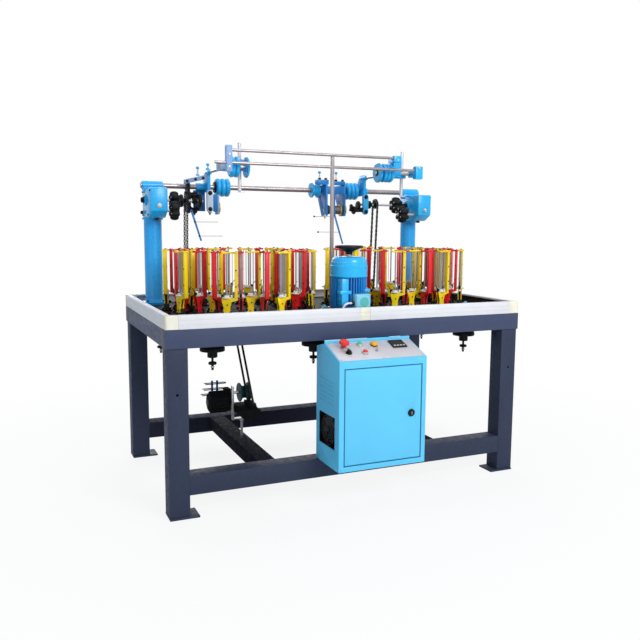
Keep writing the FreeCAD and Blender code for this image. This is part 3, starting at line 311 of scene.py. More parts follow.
# ---- materials ---------------------------------------------------------------
class Look:
    """Small helper for a node material."""

    def __init__(self, name):
        self.material = bpy.data.materials.new(name)
        self.material.use_nodes = True
        self.nodes = self.material.node_tree.nodes
        self.link = self.material.node_tree.links.new
        self.shader = self.nodes["Principled BSDF"]

    def node(self, kind, **inputs):
        made = self.nodes.new(kind)
        for key, value in inputs.items():
            made.inputs[key.replace("_", " ")].default_value = value
        return made

    def noise(self, scale, detail=3.0, stretch=None):
        source = self.nodes.new("ShaderNodeTexCoord").outputs["Object"]
        made = self.node("ShaderNodeTexNoise", Scale=scale, Detail=detail)
        if stretch:
            mapping = self.node("ShaderNodeMapping", Scale=stretch)
            self.link(source, mapping.inputs["Vector"])
            source = mapping.outputs["Vector"]
        self.link(source, made.inputs["Vector"])
        return made.outputs["Fac"]

    def ramp(self, source, stops, target):
        made = self.nodes.new("ShaderNodeValToRGB")
        for element, (place, colour) in zip(made.color_ramp.elements, stops):
            element.position = place
            element.color = (*colour, 1.0)
        self.link(source, made.inputs["Fac"])
        self.link(made.outputs["Color"], self.shader.inputs[target])

    def colour(self, source, low, high):
        self.ramp(source, (low, high), "Base Color")

    def rough(self, source, low, high):
        self.ramp(source, [(place, (value,) * 3) for place, value in (low, high)], "Roughness")

    def bump(self, source, strength, distance):
        made = self.node("ShaderNodeBump", Strength=strength, Distance=distance)
        self.link(source, made.inputs["Height"])
        self.link(made.outputs["Normal"], self.shader.inputs["Normal"])

    def set(self, **values):
        for key, value in values.items():
            self.shader.inputs[key.replace("_", " ")].default_value = value


def tone(colour, factor):
    return tuple(min(1.0, c * factor) for c in colour)


def paint(name, colour, roughness=0.32, coat=0.3, grain=1400.0, peel=0.08, spread=0.1, specular=0.5):
    """Sprayed paint: a little uneven in colour, with a fine orange peel."""
    look = Look(name)
    look.colour(look.noise(9.0, 4.0), (0.3, tone(colour, 1 - spread)), (0.7, tone(colour, 1 + spread * 0.5)))
    look.rough(look.noise(60.0, 5.0), (0.35, roughness * 0.8), (0.75, roughness * 1.35))
    look.bump(look.noise(grain, 2.0), peel, 0.0006)
    look.set(Coat_Weight=coat, Coat_Roughness=0.12, Specular_IOR_Level=specular)
    return look.material


def metal(name, colour, roughness=0.25, stretch=(1, 1, 1), scale=80.0, dirt=0.25, metallic=1.0, lines=0.1,
          specular=0.5):
    """Bare metal with drawn or turned lines and a little grime."""
    look = Look(name)
    look.set(Metallic=metallic, Specular_IOR_Level=specular)
    look.colour(look.noise(14.0, 5.0), (0.3, tone(colour, 1 - dirt)), (0.62, colour))
    drawn = look.noise(scale, 6.0, stretch)
    look.rough(drawn, (0.3, roughness * 0.7), (0.7, roughness * 1.4))
    look.bump(drawn, lines, 0.0004)
    return look.material


def plastic(name, colour, roughness=0.4, grain=900.0, depth=0.06, specular=0.5):
    look = Look(name)
    look.colour(look.noise(25.0, 3.0), (0.3, tone(colour, 0.92)), (0.7, tone(colour, 1.05)))
    look.set(Roughness=roughness, Specular_IOR_Level=specular)
    look.bump(look.noise(grain, 2.0), depth, 0.0004)
    return look.material


NAVY = paint("navy_paint", (0.027, 0.036, 0.070), 0.56, 0.0, peel=0.04, spread=0.06, specular=0.25)
# Painted shade: a darker, duller copy of the navy paint for the back stretcher, which lies in the shade of
# the cabinet.
NAVY_REAR_SHADE = paint("navy_paint_rear_painted_shade", (0.019, 0.022, 0.040), 0.72, 0.0, peel=0.03, spread=0.06, specular=0.10)
# Painted shade: a much darker, duller copy of the navy paint for the cross beams, which lie in the shade
# under the deck.
NAVY_UNDER_SHADE = paint("navy_paint_under_deck_shade", (0.010, 0.011, 0.018), 0.80, 0.0, peel=0.02, spread=0.06, specular=0.04)
# Painted sheen: a lighter copy of the navy paint for the top beams, standing in for the gloss reflection on
# them.
NAVY_SHEEN = paint("navy_paint_painted_sheen", (0.044, 0.060, 0.120), 0.48, 0.02, peel=0.05, spread=0.06, specular=0.3)
# Painted side light: a lighter, greyer copy of the navy paint for the beam ends, standing in for light
# falling on them from the left.
NAVY_SIDE_LIGHT = paint("navy_paint_painted_side_light", (0.070, 0.070, 0.108), 0.52, 0.0, peel=0.04, spread=0.06, specular=0.3)
COLUMN_BLUE = paint("column_enamel", (0.013, 0.390, 0.880), 0.30, 0.1, spread=0.04, specular=0.35)
AZURE = paint("azure_enamel", (0.020, 0.450, 0.880), 0.30, 0.12, spread=0.05, specular=0.35)
AZURE_DARK = paint("azure_cast", (0.014, 0.200, 0.560), 0.40, 0.0, 600.0, 0.15, 0.15, 0.3)
DEEP_AZURE = paint("deep_azure_enamel", (0.008, 0.090, 0.330), 0.40, 0.0, 600.0, 0.15, 0.15, 0.3)
FIN_BLUE = paint("fin_blue_enamel", (0.016, 0.280, 0.700), 0.36, 0.05, specular=0.3)
# Painted light: a paler, greyer copy of the azure for parts on the left, where more light falls; their twins
# on the right are azure.
AZURE_LEFT_LIGHT = paint("azure_painted_left_light", (0.270, 0.410, 0.680), 0.50, 0.0, 600.0, 0.12, 0.12, 0.3)
# Painted highlight: a near-white copy of the azure for the left take-up unit's two-bolt bar and end plate,
# where the light strikes them; the same bar on the right is plain azure.
AZURE_HIGHLIGHT = paint("azure_painted_highlight", (0.640, 0.740, 0.860), 0.44, 0.05, spread=0.06, specular=0.3)
SKY = paint("sky_powder_coat", (0.122, 0.560, 0.860), 0.46, 0.0, spread=0.03, specular=0.22)
YELLOW = paint("yellow_enamel", (0.960, 0.680, 0.003), 0.38, 0.1, 800.0, 0.15, 0.12, 0.3)
RED = paint("red_enamel", (0.740, 0.016, 0.018), 0.38, 0.1, 800.0, 0.15, 0.12, 0.3)
RIM = metal("rim_aluminium", (0.74, 0.74, 0.765), 0.55, (0.4, 0.4, 60), 30.0, 0.05, 0.2, 0.05, 0.3)
STEEL = metal("machined_steel", (0.50, 0.49, 0.50), 0.34, (1, 1, 1), 60.0, 0.3, 0.7)
DECK = metal("oiled_deck_steel", (0.014, 0.014, 0.015), 0.7, (3, 60, 1), 20.0, 0.5, 0.1, 0.1, 0.12)
# Painted shade: a dark sheet for the shaded recess of the rim's channel.
RIM_CHANNEL_SHADE = metal("rim_channel_shade", (0.042, 0.032, 0.028), 0.7, (60, 2, 60), 10.0, 0.4, 0.0, 0.1, 0.1)
ZINC = metal("zinc_sheet", (0.60, 0.585, 0.62), 0.45, (60, 2, 60), 10.0, 0.08, 0.4, 0.1, 0.3)
ROD = metal("drawn_rod", (0.37, 0.335, 0.345), 0.22, (2, 90, 90), 20.0, 0.2, 0.55, 0.04, 0.3)
PALE_ROD = metal("pale_rod", (0.62, 0.60, 0.63), 0.28, (90, 90, 2), 20.0, 0.1, 0.4, 0.04, 0.3)
SPINDLE = metal("spindle_steel", (0.40, 0.37, 0.37), 0.36, (60, 60, 1), 30.0, 0.25, 0.6)
ROLLER_GREY = metal("press_roller_grey", (0.16, 0.15, 0.16), 0.4, (1, 1, 1), 60.0, 0.3, 0.4)
BRASS = metal("brass", (0.80, 0.55, 0.06), 0.36, (1, 1, 1), 50.0, 0.2, 0.6)
IRON = metal("black_iron", (0.009, 0.009, 0.010), 0.52, (1, 1, 1), 90.0, 0.4, 0.0, 0.2, 0.16)
SOOT = metal("matt_black_castings", (0.006, 0.006, 0.007), 0.75, (1, 1, 1), 90.0, 0.4, 0.0, 0.2, 0.06)
CHAIN = metal("oiled_chain", (0.020, 0.020, 0.022), 0.40, (1, 1, 1), 90.0, 0.5, 0.2, 0.2, 0.25)
CREAM = plastic("cream_plastic", (0.800, 0.770, 0.640), 0.45, specular=0.3)
WHITE = plastic("white_nylon", (0.74, 0.71, 0.62), 0.4)
BLACK = plastic("black_plastic", (0.006, 0.006, 0.007), 0.40, specular=0.22)
RUBBER = plastic("rubber", (0.012, 0.012, 0.013), 0.62, 300.0, 0.2, 0.2)
GLASS_BLACK = plastic("display_window", (0.010, 0.013, 0.016), 0.30, 900.0, 0.0, 0.15)
RED_CAP = plastic("red_cap", (0.780, 0.030, 0.028), 0.34, specular=0.35)
GREEN_CAP = plastic("green_cap", (0.060, 0.520, 0.240), 0.34, specular=0.35)
AMBER = plastic("amber_lens", (0.900, 0.400, 0.008), 0.30, specular=0.3)
TEAL = paint("teal_paint", (0.004, 0.050, 0.058), 0.46, 0.0, specular=0.2)
CYAN_PALE = paint("pale_cyan_enamel", (0.200, 0.560, 0.720), 0.40, 0.05, specular=0.3)
# The door's real gap, widened into a painted shadow line round the inset door.
SEAM_AND_SHADOW = plastic("seam_shadow", (0.018, 0.150, 0.290), 0.6, specular=0.1)
FAN_GREY = plastic("fan_grey", (0.045, 0.047, 0.052), 0.5, specular=0.2)
LABEL_GREEN = paint("sea_green_disc", (0.080, 0.420, 0.420), 0.4, 0.0)
DEEP_BLUE = paint("deep_blue_enamel", (0.004, 0.045, 0.200), 0.40, 0.0, specular=0.25)
PAD_BLUE = plastic("cyan_plastic", (0.180, 0.620, 0.780), 0.4)


# ---- camera, lamps and floor -------------------------------------------------
def camera():
    """The photograph's own viewpoint, found from the straight edges of the table."""
    yaw, pitch, roll = 0.4139, 0.1260, 0.0069
    ahead = Vector((sin(yaw) * cos(pitch), cos(yaw) * cos(pitch), -sin(pitch)))
    side = Vector((cos(yaw), -sin(yaw), 0))
    top = side.cross(ahead)
    right = side * cos(roll) + top * sin(roll)
    up = top * cos(roll) - side * sin(roll)
    data = bpy.data.cameras.new("camera")
    data.sensor_width = 36.0
    data.lens = 40.83
    data.shift_x = -0.0027
    data.shift_y = 0.0003
    data.clip_end = 60.0
    obj = bpy.data.objects.new("camera", data)
    m = Matrix((right, up, -ahead)).transposed().to_4x4()
    m.translation = Vector((-1.3567, -3.0563, 1.1276))
    obj.matrix_world = m
    bpy.context.scene.collection.objects.link(obj)
    bpy.context.scene.camera = obj


def lamp(name, place, size, power, tint=(1, 1, 1)):
    """Soft lamp aimed at the middle of the machine."""
    data = bpy.data.lights.new(name, "AREA")
    data.shape = "RECTANGLE"
    data.size, data.size_y = size
    data.energy = power
    data.color = tint
    obj = bpy.data.objects.new(name, data)
    obj.location = place
    middle = Vector((0, 0, 0.8))
    obj.rotation_euler = (middle - Vector(place)).to_track_quat("-Z", "Y").to_euler()
    bpy.context.scene.collection.objects.link(obj)


def background(nodes, colour, strength):
    made = nodes.new("ShaderNodeBackground")
    made.inputs["Color"].default_value = (*colour, 1.0)
    made.inputs["Strength"].default_value = strength
    return made.outputs[0]


def sky():
    """Soft world light, which camera and glossy rays see as plain white."""
    world = bpy.data.worlds.new("studio")
    bpy.context.scene.world = world
    world.use_nodes = True
    nodes, link = world.node_tree.nodes, world.node_tree.links.new
    nodes.clear()
    path = nodes.new("ShaderNodeLightPath")
    seen = nodes.new("ShaderNodeMath")
    seen.operation = "MAXIMUM"
    link(path.outputs["Is Camera Ray"], seen.inputs[0])
    link(path.outputs["Is Glossy Ray"], seen.inputs[1])
    mix = nodes.new("ShaderNodeMixShader")
    link(seen.outputs[0], mix.inputs["Fac"])
    link(background(nodes, (0.74, 0.86, 1.0), 0.45), mix.inputs[1])
    link(background(nodes, (1, 1, 1), 1.0), mix.inputs[2])
    link(mix.outputs[0], nodes.new("ShaderNodeOutputWorld").inputs["Surface"])


def floor_look():
    """Pale floor that shades under the machine and fades to white away from it."""
    look = Look("floor")
    look.set(Base_Color=(0.86, 0.86, 0.86, 1.0), Roughness=0.7)
    glow = look.node("ShaderNodeEmission", Color=(1, 1, 1, 1))
    coords = look.node("ShaderNodeTexCoord")
    reach = look.node("ShaderNodeVectorMath")
    reach.operation = "LENGTH"
    look.link(coords.outputs["Object"], reach.inputs[0])
    fade = look.node("ShaderNodeMapRange", From_Min=0.9, From_Max=2.6, To_Min=0.86, To_Max=1.0)
    look.link(reach.outputs["Value"], fade.inputs["Value"])
    path = look.node("ShaderNodeLightPath")
    gate = look.node("ShaderNodeMath")
    gate.operation = "MULTIPLY"
    look.link(fade.outputs["Result"], gate.inputs[0])
    look.link(path.outputs["Is Camera Ray"], gate.inputs[1])
    blend = look.node("ShaderNodeMixShader")
    look.link(gate.outputs[0], blend.inputs["Fac"])
    look.link(look.shader.outputs[0], blend.inputs[1])
    look.link(glow.outputs[0], blend.inputs[2])
    look.link(blend.outputs[0], look.nodes["Material Output"].inputs["Surface"])
    return look.material


def studio():
    bpy.context.scene.view_settings.view_transform = "Standard"
    sky()
    lamp("key", (0.9, -4.4, 3.0), (2.2, 2.0), 156.0, (1.0, 0.99, 0.97))
    lamp("fill", (-3.4, -2.6, 2.2), (2.4, 2.0), 12.0)
    lamp("top", (0.0, 0.2, 3.9), (3.4, 2.0), 22.0)
    lamp("rear", (0.5, 3.6, 2.4), (3.0, 1.6), 60.0)
    size = 14.0
    corners = [(-size, -size, 0), (size, -size, 0), (size, size, 0), (-size, size, 0)]
    mesh = bpy.data.meshes.new("floor")
    mesh.from_pydata(corners, [], [(0, 1, 2, 3)])
    mesh.materials.append(floor_look())
    floor = bpy.data.objects.new("floor", mesh)
    bpy.context.scene.collection.objects.link(floor)


# ---- table -------------------------------------------------------------------
def table():
    dress("legs", [NAVY], 3.0, "navy", segments=3)
    # The long front and back beams get the painted sheen, the short end beams (|x| > 700) the painted side
    # light.
    dress("top_beams", [NAVY_SHEEN, NAVY_SIDE_LIGHT], 3.0, "navy", lambda x, d, z: abs(x) > 700, 3)
    # The back stretcher (depth > 700) gets the painted shade.
    dress("stretchers", [NAVY, NAVY_REAR_SHADE], 3.0, "navy", lambda x, d, z: d > 700, 3)
    # The cross beams get the painted shade of the navy.
    dress("cross_beams", [NAVY_UNDER_SHADE], 3.0, "navy", segments=3)
    dress("foot_plates", [NAVY], 1.5, "navy")
    dress("rim_profiles", [RIM], 0.8, "rim")
    dress("rim_caps", [CREAM], 2.5, "cream", segments=3)
    dress("gear_base_plate", [IRON], 1.0, "plate")
    half = TABLE_LENGTH / 2
    sides = (-1, 1)
    caps = Form()
    for side in sides:
        for d in (BEAM_INSET, TABLE_DEPTH - BEAM_INSET - BEAM):
            outer = side * (half - BEAM_INSET)
            inner = outer - side * BEAM_CAP
            caps.block(inner, outer, d + 0.5, d + BEAM - 0.5, BEAM_BOTTOM + 0.5, BEAM_TOP - 0.5, 0, 0.8)
    # Thin caps over the beam ends, in the painted side light.
    build("beam_end_caps", caps, [NAVY_SIDE_LIGHT], "navy")
    grooves = Form()
    out, sunk = 0.15, 0.3
    for z in (762.0, 780.0):
        grooves.block(RIM_CORNER - half, half - RIM_CORNER, -out, sunk, z, z + 1.2, bevel=0)
        for x0, x1 in ((-half - out, sunk - half), (half - sunk, half + out)):
            grooves.block(x0, x1, RIM_CORNER, TABLE_DEPTH - RIM_CORNER, z, z + 1.2, bevel=0)
    build("rim_grooves", grooves, [ZINC], "rim")
    # Dark sheets inside both side rails' channels: painted shade for their recess.
    channel = Form()
    wall, lip = half - 12.0, half - 12.6
    low, high = BEAM_TOP + 10.5, RIM_TOP - 8.5
    for side in sides:
        channel.block(side * lip, side * wall, RIM_CORNER, TABLE_DEPTH - RIM_CORNER, low, high, bevel=0)
    build("rim_channel_painted_shade", channel, [RIM_CHANNEL_SHADE], "rim")


def ring_place(side, step, radius):
    """A point on one head's ring, with the directions along the ring and outwards."""
    angle = radians(RING_PHASE + 360.0 * step / GEARS)
    out = Vector((sin(angle), -cos(angle), 0))
    along = Vector((cos(angle), sin(angle), 0))
    return at(side * HEAD_X, HEAD_BACK, 0) + out * radius, along, out


def scallops(side, outside, facets=14):
    """Edge of the crossing tracks round one head: the arcs of the gear circles."""
    reach = GEAR_R + SLOT_WIDTH / 2
    facing = 1 if outside else -1
    span = pi / 2 - acos(GEAR_R / reach) + facing * pi / GEARS
    points = []
    for step in range(GEARS):
        centre, along, out = ring_place(side, step, RING_R)
        for i in range(facets):
            a = -span + 2 * span * (i + 0.5) / facets
            points.append(centre + (out * (cos(a) * facing) + along * sin(a)) * reach)
    return points


def flat_with_holes(form, outline, holes, low, high):
    """Flat plate with holes, filled by triangulation and given its edges."""
    bm = bmesh.new()
    for loop in [outline] + holes:
        verts = [bm.verts.new((p.x, p.y, high)) for p in loop]
        for i in range(len(verts)):
            bm.edges.new((verts[i], verts[(i + 1) % len(verts)]))
    bmesh.ops.triangle_fill(bm, use_beauty=True, use_dissolve=False, edges=bm.edges[:])
    made = bmesh.ops.extrude_face_region(bm, geom=bm.faces[:])
    moved = [v for v in made["geom"] if isinstance(v, bmesh.types.BMVert)]
    bmesh.ops.translate(bm, verts=moved, vec=(0, 0, low - high))
    bmesh.ops.recalc_face_normals(bm, faces=bm.faces)
    form.mesh(bm)


def rectangle(x0, x1, d0, d1):
    return [at(x0, d0, 0), at(x1, d0, 0), at(x1, d1, 0), at(x0, d1, 0)]


def deck():
    half = TABLE_LENGTH / 2 - RIM_WIDTH
    slots = [rectangle(x - 12, x + 12, 764, 836) for x in CHAIN_X]
    plate, inner, islands = Form(), Form(), Form()
    outline = rectangle(-half, half, RIM_WIDTH, TABLE_DEPTH - RIM_WIDTH)
    flat_with_holes(plate, outline, [scallops(-1, True), scallops(1, True)] + slots, BEAM_TOP, DECK_TOP)
    build("track_plate_cut", plate, [DECK], "deck", nodes=["track_plate"])
    radius = GEAR_R - SLOT_WIDTH / 2
    profile = [
        (0, GEAR_BASE_TOP), (12, GEAR_BASE_TOP), (12, BEAM_TOP), (radius - 1, BEAM_TOP),
        (radius, BEAM_TOP + 1), (radius, DECK_TOP - 1), (radius - 1, DECK_TOP),
        (9, DECK_TOP), (9, DECK_TOP + 5), (0, DECK_TOP + 5),
    ]
    for side in (-1, 1):
        flat_with_holes(inner, scallops(side, False), [], BEAM_TOP, DECK_TOP)
        inner.disc(30, GEAR_BASE_TOP, BEAM_TOP, 0, lift(side * HEAD_X, HEAD_BACK))
        for step in range(GEARS):
            islands.lathe(profile, 0, Matrix.Translation(ring_place(side, step, RING_R)[0]), 32)
    build("inner_track_plates", inner, [DECK], "deck", nodes=["inner_tracks"])
    build("track_islands", islands, [DECK], "deck", nodes=["gear_islands"])


# ---- carriers ----------------------------------------------------------------
def carrier_casting():
    """One bobbin carrier on its track, with its arm towards +X."""
    enamel, black, steel, nylon = range(4)
    form = Form()
    side_view = Matrix(((1, 0, 0, 0), (0, 0, -1, 0), (0, 1, 0, 0), (0, 0, 0, 1)))
    cheek = [
        (-22, 8), (-14, 28), (-12, 46), (-19, 70), (-20, SHELF_TOP), (ARM_OUTER, SHELF_TOP),
        (ARM_OUTER, 77), (20, 70), (12, 46), (14, 28), (22, 8),
    ]
    for v in (-7.0, 7.0):
        form.prism(cheek, v - 1.8, v + 1.8, enamel, side_view, 0.8)
    core = [(-12, 8), (-6, 34), (-12, 72), (12, 72), (6, 34), (12, 8)]
    form.prism(core, -5.0, 5.0, black, side_view, 0.6)
    form.box((60, 14, 5), enamel, shift(12, 0, SHELF_TOP - 3), 1.0)
    form.box((40, 15, 7), enamel, shift(0, 0, 12), 1.4)
    arm_top = CARRIER_TOP - 2
    arm = [(ARM_INNER, 80), (ARM_OUTER, 80), (ARM_OUTER, arm_top), (ARM_INNER + 1, arm_top)]
    form.prism(arm, -ARM_HALF, ARM_HALF, enamel, side_view, 1.8)
    bow = [
        (-19, -13), (-10, -12), (2, -4), (26, -4), (36, -12), (45, -13),
        (45, 13), (36, 12), (26, 4), (2, 4), (-10, 12), (-19, 13),
    ]
    form.prism(bow, CARRIER_TOP - 8, CARRIER_TOP, enamel, None, 1.4)
    for radius, low, high in ((28, 0.2, 7.0), (22, 7.0, 16.0)):
        form.prism(ngon(radius, 8, pi / 8), low, high, black, None, 1.0)
    for u, turn in ((-19, 0.4), (19, -0.3)):
        form.box((9, 21, 22), black, shift(u, 0, 22) @ Matrix.Rotation(turn, 4, "Y"), 1.5)
    form.disc(7, 0, 12, black, shift(-9, 13, 34), 1.5, 12)
    pin = ARM_HALF + 0.8
    for u, v, z in ((-3, 9.6, 24), (3, 9.6, 58), (39, pin, 132), (39, pin, 198)):
        form.rod(Vector((u, -v, z)), Vector((u, v, z)), 3.2, black, 0.4, 10)
    form.box((11, 9, 16), black, shift(-17, 0, 92), 1.2)
    form.rod(Vector((-20, 0, 100)), Vector((-34, 0, 118)), 1.6, black, 0.3, 8)
    seat = [(0, 84.2), (18, 84.2), (19, 85), (19, 88), (17, 89), (12, 89.5), (12, 95), (10, 96), (0, 96)]
    form.lathe(seat, nylon, None, 20)
    for i in range(10):
        a = 2 * pi * i / 10
        form.box((4.5, 3.0, 5.0), nylon, shift(17.5 * cos(a), 17.5 * sin(a), 88) @ spin(i, 10), 0.5)
    form.box((7, 13, 12), nylon, shift(20, 0, 92), 1.0)
    form.rod(Vector((0, 0, 95)), Vector((0, 0, CARRIER_TOP - 4)), 3.2, steel, 0.8, 12)
    for u, v, r in ((12, 5, 1.0), (12, -5, 1.0), (23, 0, 1.2)):
        form.rod(Vector((u, v, SHELF_TOP)), Vector((u, v, CARRIER_TOP - 5)), r, steel, 0.2, 8)
    form.disc(5.0, arm_top, CARRIER_TOP + 3, black, None, 0.8, 10)
    form.disc(3.4, arm_top, CARRIER_TOP + 2, black, shift(39, 0), 0.5, 10)
    return form


def carriers():
    """Yellow carriers are on the gears' outer and inner sides, red ones between gears."""
    casting = carrier_casting()
    yellow, red = Form(), Form()
    for side in (-1, 1):
        for step in range(GEARS):
            outer = 1 if step % 2 else -1
            place, along, out = ring_place(side, step, RING_R + outer * GEAR_R)
            yellow.join(casting, stand(place + UP * DECK_TOP, UP, along))
            place, along, out = ring_place(side, step + 0.5, RING_R * cos(pi / GEARS))
            red.join(casting, stand(place + UP * DECK_TOP, UP, -out * outer))
    nodes = ["yellow_carriers", "carrier_spindles"]
    build("yellow_bobbin_carriers", yellow, [YELLOW, IRON, SPINDLE, WHITE], "yellow", nodes=nodes)
    nodes = ["red_carriers", "bobbin_seats"]
    build("red_bobbin_carriers", red, [RED, IRON, SPINDLE, WHITE], "red", nodes=nodes)


# ---- columns and gearboxes ---------------------------------------------------
def columns():
    form = Form()
    height = GEARBOX_BOTTOM - DECK_TOP
    profile = [
        (0, 0), (60, 0), (61, 1), (61, 13), (58, 16), (48, 18), (COLUMN_R + 2, 24),
        (COLUMN_R, 30), (COLUMN_R, height), (0, height),
    ]
    for side in (-1, 1):
        base = lift(side * COLUMN_X, COLUMN_BACK, DECK_TOP)
        form.lathe(profile, 0, base, 56)
        for u, v in ngon(53, 4, pi / 4):
            form.prism(ngon(6), 15, 22, 1, base @ shift(u, v), 0.8)
    finished("columns", form, [COLUMN_BLUE, IRON], "azure", "frame")


def gearboxes():
    cases, trim = Form(), Form()
    iron, steel, azure = range(3)
    outline = [(650, 1305), (860, 1305), (860, GEARBOX_BOTTOM), (702, GEARBOX_BOTTOM), (650, 1200)]
    for side in (-1, 1):
        inner, outer = side * (COLUMN_X - GEARBOX_HALF), side * (COLUMN_X + GEARBOX_HALF)
        cases.plate(outline, min(inner, outer), max(inner, outer), 0, 6.0)
        cases.bar(side * 648, side * 745, MAIN_BACK, MAIN_Z, 21, 0, 2.0, 40)
        cases.block(side * 652, side * 741, 796, 834, 1290, 1318, 0, 4.0)
        cases.disc(49, -8, 4, 0, lift(side * COLUMN_X, COLUMN_BACK, GEARBOX_BOTTOM), 3.0, 48)
        for d, z in ((662, 1292), (848, 1292), (848, 1184), (714, 1184)):
            trim.prism(ngon(5), 0, 3.5, iron, stand(at(outer, d, z), RIGHT * side), 0.6)
        for x, facing in ((outer, side), (inner, -side)):
            ring = [(7, 0), (25, 0), (25, 6), (23, 8), (13, 8), (12, 6), (7, 6)]
            trim.lathe(ring, azure, stand(at(x, SHAFT_BACK, SHAFT_Z), RIGHT * facing), 32)
            for u, v in ngon(18.5, 4, pi / 4):
                spot = at(x + facing * 7.4, SHAFT_BACK + u, SHAFT_Z + v)
                trim.prism(ngon(3.4), 0, 2.0, iron, stand(spot, RIGHT * facing), 0.3)
        sight = stand(at(side * COLUMN_X, 650, 1225), -IN)
        trim.disc(11, 0, 6, steel, sight, 1.5, 24)
        trim.prism(ngon(5.5), 6, 9, steel, sight, 0.6)
        trim.prism(ngon(11), 0, 10, iron, lift(side * COLUMN_X, 716, 1160), 1.0)
        bolt = stand(at(outer, 842, 1196), RIGHT * side)
        trim.disc(11, 0, 2.5, steel, bolt, 0.6, 20)
        trim.prism(ngon(9), 2.5, 12, iron, bolt, 1.0)
    build("gearbox_cases", cases, [AZURE], "azure", nodes=["gearbox_housings"])
    build("gearbox_trim", trim, [IRON, STEEL, AZURE], "black_metal", nodes=["gearbox_fittings"])
    form = Form().bar(-752, 752, MAIN_BACK, MAIN_Z, MAIN_R, 0, 1.2, 36)
    build("main_cross_rod", form, [ROD], "chrome", nodes=["main_rod"])


# ---- take-up drive -----------------------------------------------------------
def star_wheel(form, x0, x1, depth, z):
    """Black star knob: a web with six round lobes, and a stud in each lobe and the hub."""
    width = x1 - x0
    axis = on_axis(x0, depth, z)
    form.disc(33, 6, width - 6, 0, axis, 6.0, 36)
    form.disc(15, -1.5, width + 1.5, 0, axis, 2.0, 28)
    form.disc(8, -3.5, width + 3.5, 1, axis, 1.0, 24)
    half = width / 2
    bulge = [(15.5 * sin(pi * i / 12) ** 0.6, half - half * cos(pi * i / 12)) for i in range(1, 12)]
    for u, v in ngon(28, 6, pi / 6):
        form.lathe([(0, 0)] + bulge + [(0, width)], 0, on_axis(x0, depth + u, z + v), 20)
        form.disc(4, -0.8, 3, 1, on_axis(x0, depth + u, z + v), 0.5, 12)


def toothed(teeth, steps):
    """Outline of a wheel whose every tooth has the same (part of its pitch, radius) steps."""
    turns = [(2 * pi * (i + part) / teeth, r) for i in range(teeth) for part, r in steps]
    return [(r * cos(a), r * sin(a)) for a, r in turns]


def sprocket(form, x, radius=21.0):
    tip, root = radius - 0.6, radius - 5
    m = on_axis(x, SHAFT_BACK, SHAFT_Z)
    steps = ((0.0, radius), (0.22, tip), (0.42, root), (0.58, root), (0.78, tip))
    form.prism(toothed(14, steps), -3, 3, 0, m, 0.4)
    form.disc(12, -12, 12, 0, m, 1.0, 24)


def toothed_wheel(form, x, radius, width):
    """Brass wheel beside a press roller."""
    root = radius - 2.4
    outline = toothed(36, ((0.0, radius), (0.3, radius), (0.45, root), (0.85, root)))
    form.prism(outline, 0, width, 2, on_axis(x, PRESS_BACK, PRESS_Z))


def drive_shaft(name, inner_end, star, sprockets, collars):
    """Shaft from the gearbox to the take-up unit, with what turns on it."""
    side = 1 if inner_end > 0 else -1
    outer = side * (COLUMN_X + GEARBOX_HALF + 22)
    form = Form()
    form.bar(inner_end, outer, SHAFT_BACK, SHAFT_Z, 6.0, 1, 1.0, 24)
    cap = stand(at(outer - side * 12, SHAFT_BACK, SHAFT_Z), RIGHT * side)
    form.disc(13, 0, 12, 0, cap, 1.5, 24)
    form.prism(ngon(9), 11.5, 14, 0, cap, 0.6)
    star_wheel(form, star[0], star[1], SHAFT_BACK, SHAFT_Z)
    for x in sprockets:
        sprocket(form, x)
    for x0, x1, radius in collars:
        form.disc(radius, 0, x1 - x0, 0, on_axis(x0, SHAFT_BACK, SHAFT_Z), 2.0, 36)
    finished(name, form, [IRON, STEEL], "black_metal")


def clutch_knob(name, x0, x1, stem_from, stem_to):
    form = Form()
    star_wheel(form, x0, x1, KNOB_BACK, KNOB_Z)
    form.bar(stem_from, stem_to, KNOB_BACK, KNOB_Z, 7.0, 1, 0.8, 20)
    finished(name, form, [IRON, STEEL], "black_metal")


def shafts():
    left, right = CHAIN_X
    face = COLUMN_X - GEARBOX_HALF
    drive_shaft("drive_shaft_left", -466, (-625, -585), (left, -508), ((-578, -566, 30), (-490, -478, 33)))
    drive_shaft("drive_shaft_right", 360, (562, 610), (right, 428), ((610, 652, 10),))
    clutch_knob("clutch_knob_left", -641, -601, -face, -641)
    clutch_knob("clutch_knob_right", 560, 608, 608, face)


def loop_line(top, bottom, radius, count):
    """Evenly spaced points round two equal wheels, with the direction at each."""
    fall = bottom - top
    span = fall.length
    down = fall / span
    across = Vector((-down.y, down.x))
    half = span + pi * radius
    for i in range(count):
        s = 2 * half * i / count
        centre, facing = (bottom, 1) if s < half else (top, -1)
        s %= half
        a = max(0.0, (s - span) / radius)
        spoke = across * cos(a) + down * sin(a)
        ahead = down * cos(a) - across * sin(a)
        place = centre + (spoke * radius - down * max(0.0, span - s)) * facing
        yield place, ahead * facing


def chain(form, x, top, bottom, radius, pitch=12.0):
    """Links of two plates and a roller each, narrow and wide ones in turn."""
    top, bottom = Vector(top), Vector(bottom)
    count = 2 * round(((bottom - top).length + pi * radius) / pitch)
    half = [(-8, 1.2), (-6, 4.6), (-3, 4.6), (0, 3.6), (3, 4.6), (6, 4.6), (8, 1.2)]
    outline = half + [(u, -v) for u, v in reversed(half)]
    for i, (place, ahead) in enumerate(loop_line(top, bottom, radius, count)):
        m = stand(at(x, place.x, place.y), RIGHT, Vector((0, ahead.x, ahead.y)))
        gap = 2.2 if i % 2 else 3.4
        for v in (-gap, gap):
            form.prism(outline, v - 1.1, v + 1.1, 0, m)
        form.disc(3.4, -2.6, 2.6, 0, m @ shift(6, 0), 0.3, 10)
        form.disc(1.8, -5.2, 5.2, 1, m @ shift(6, 0), 0.3, 8)


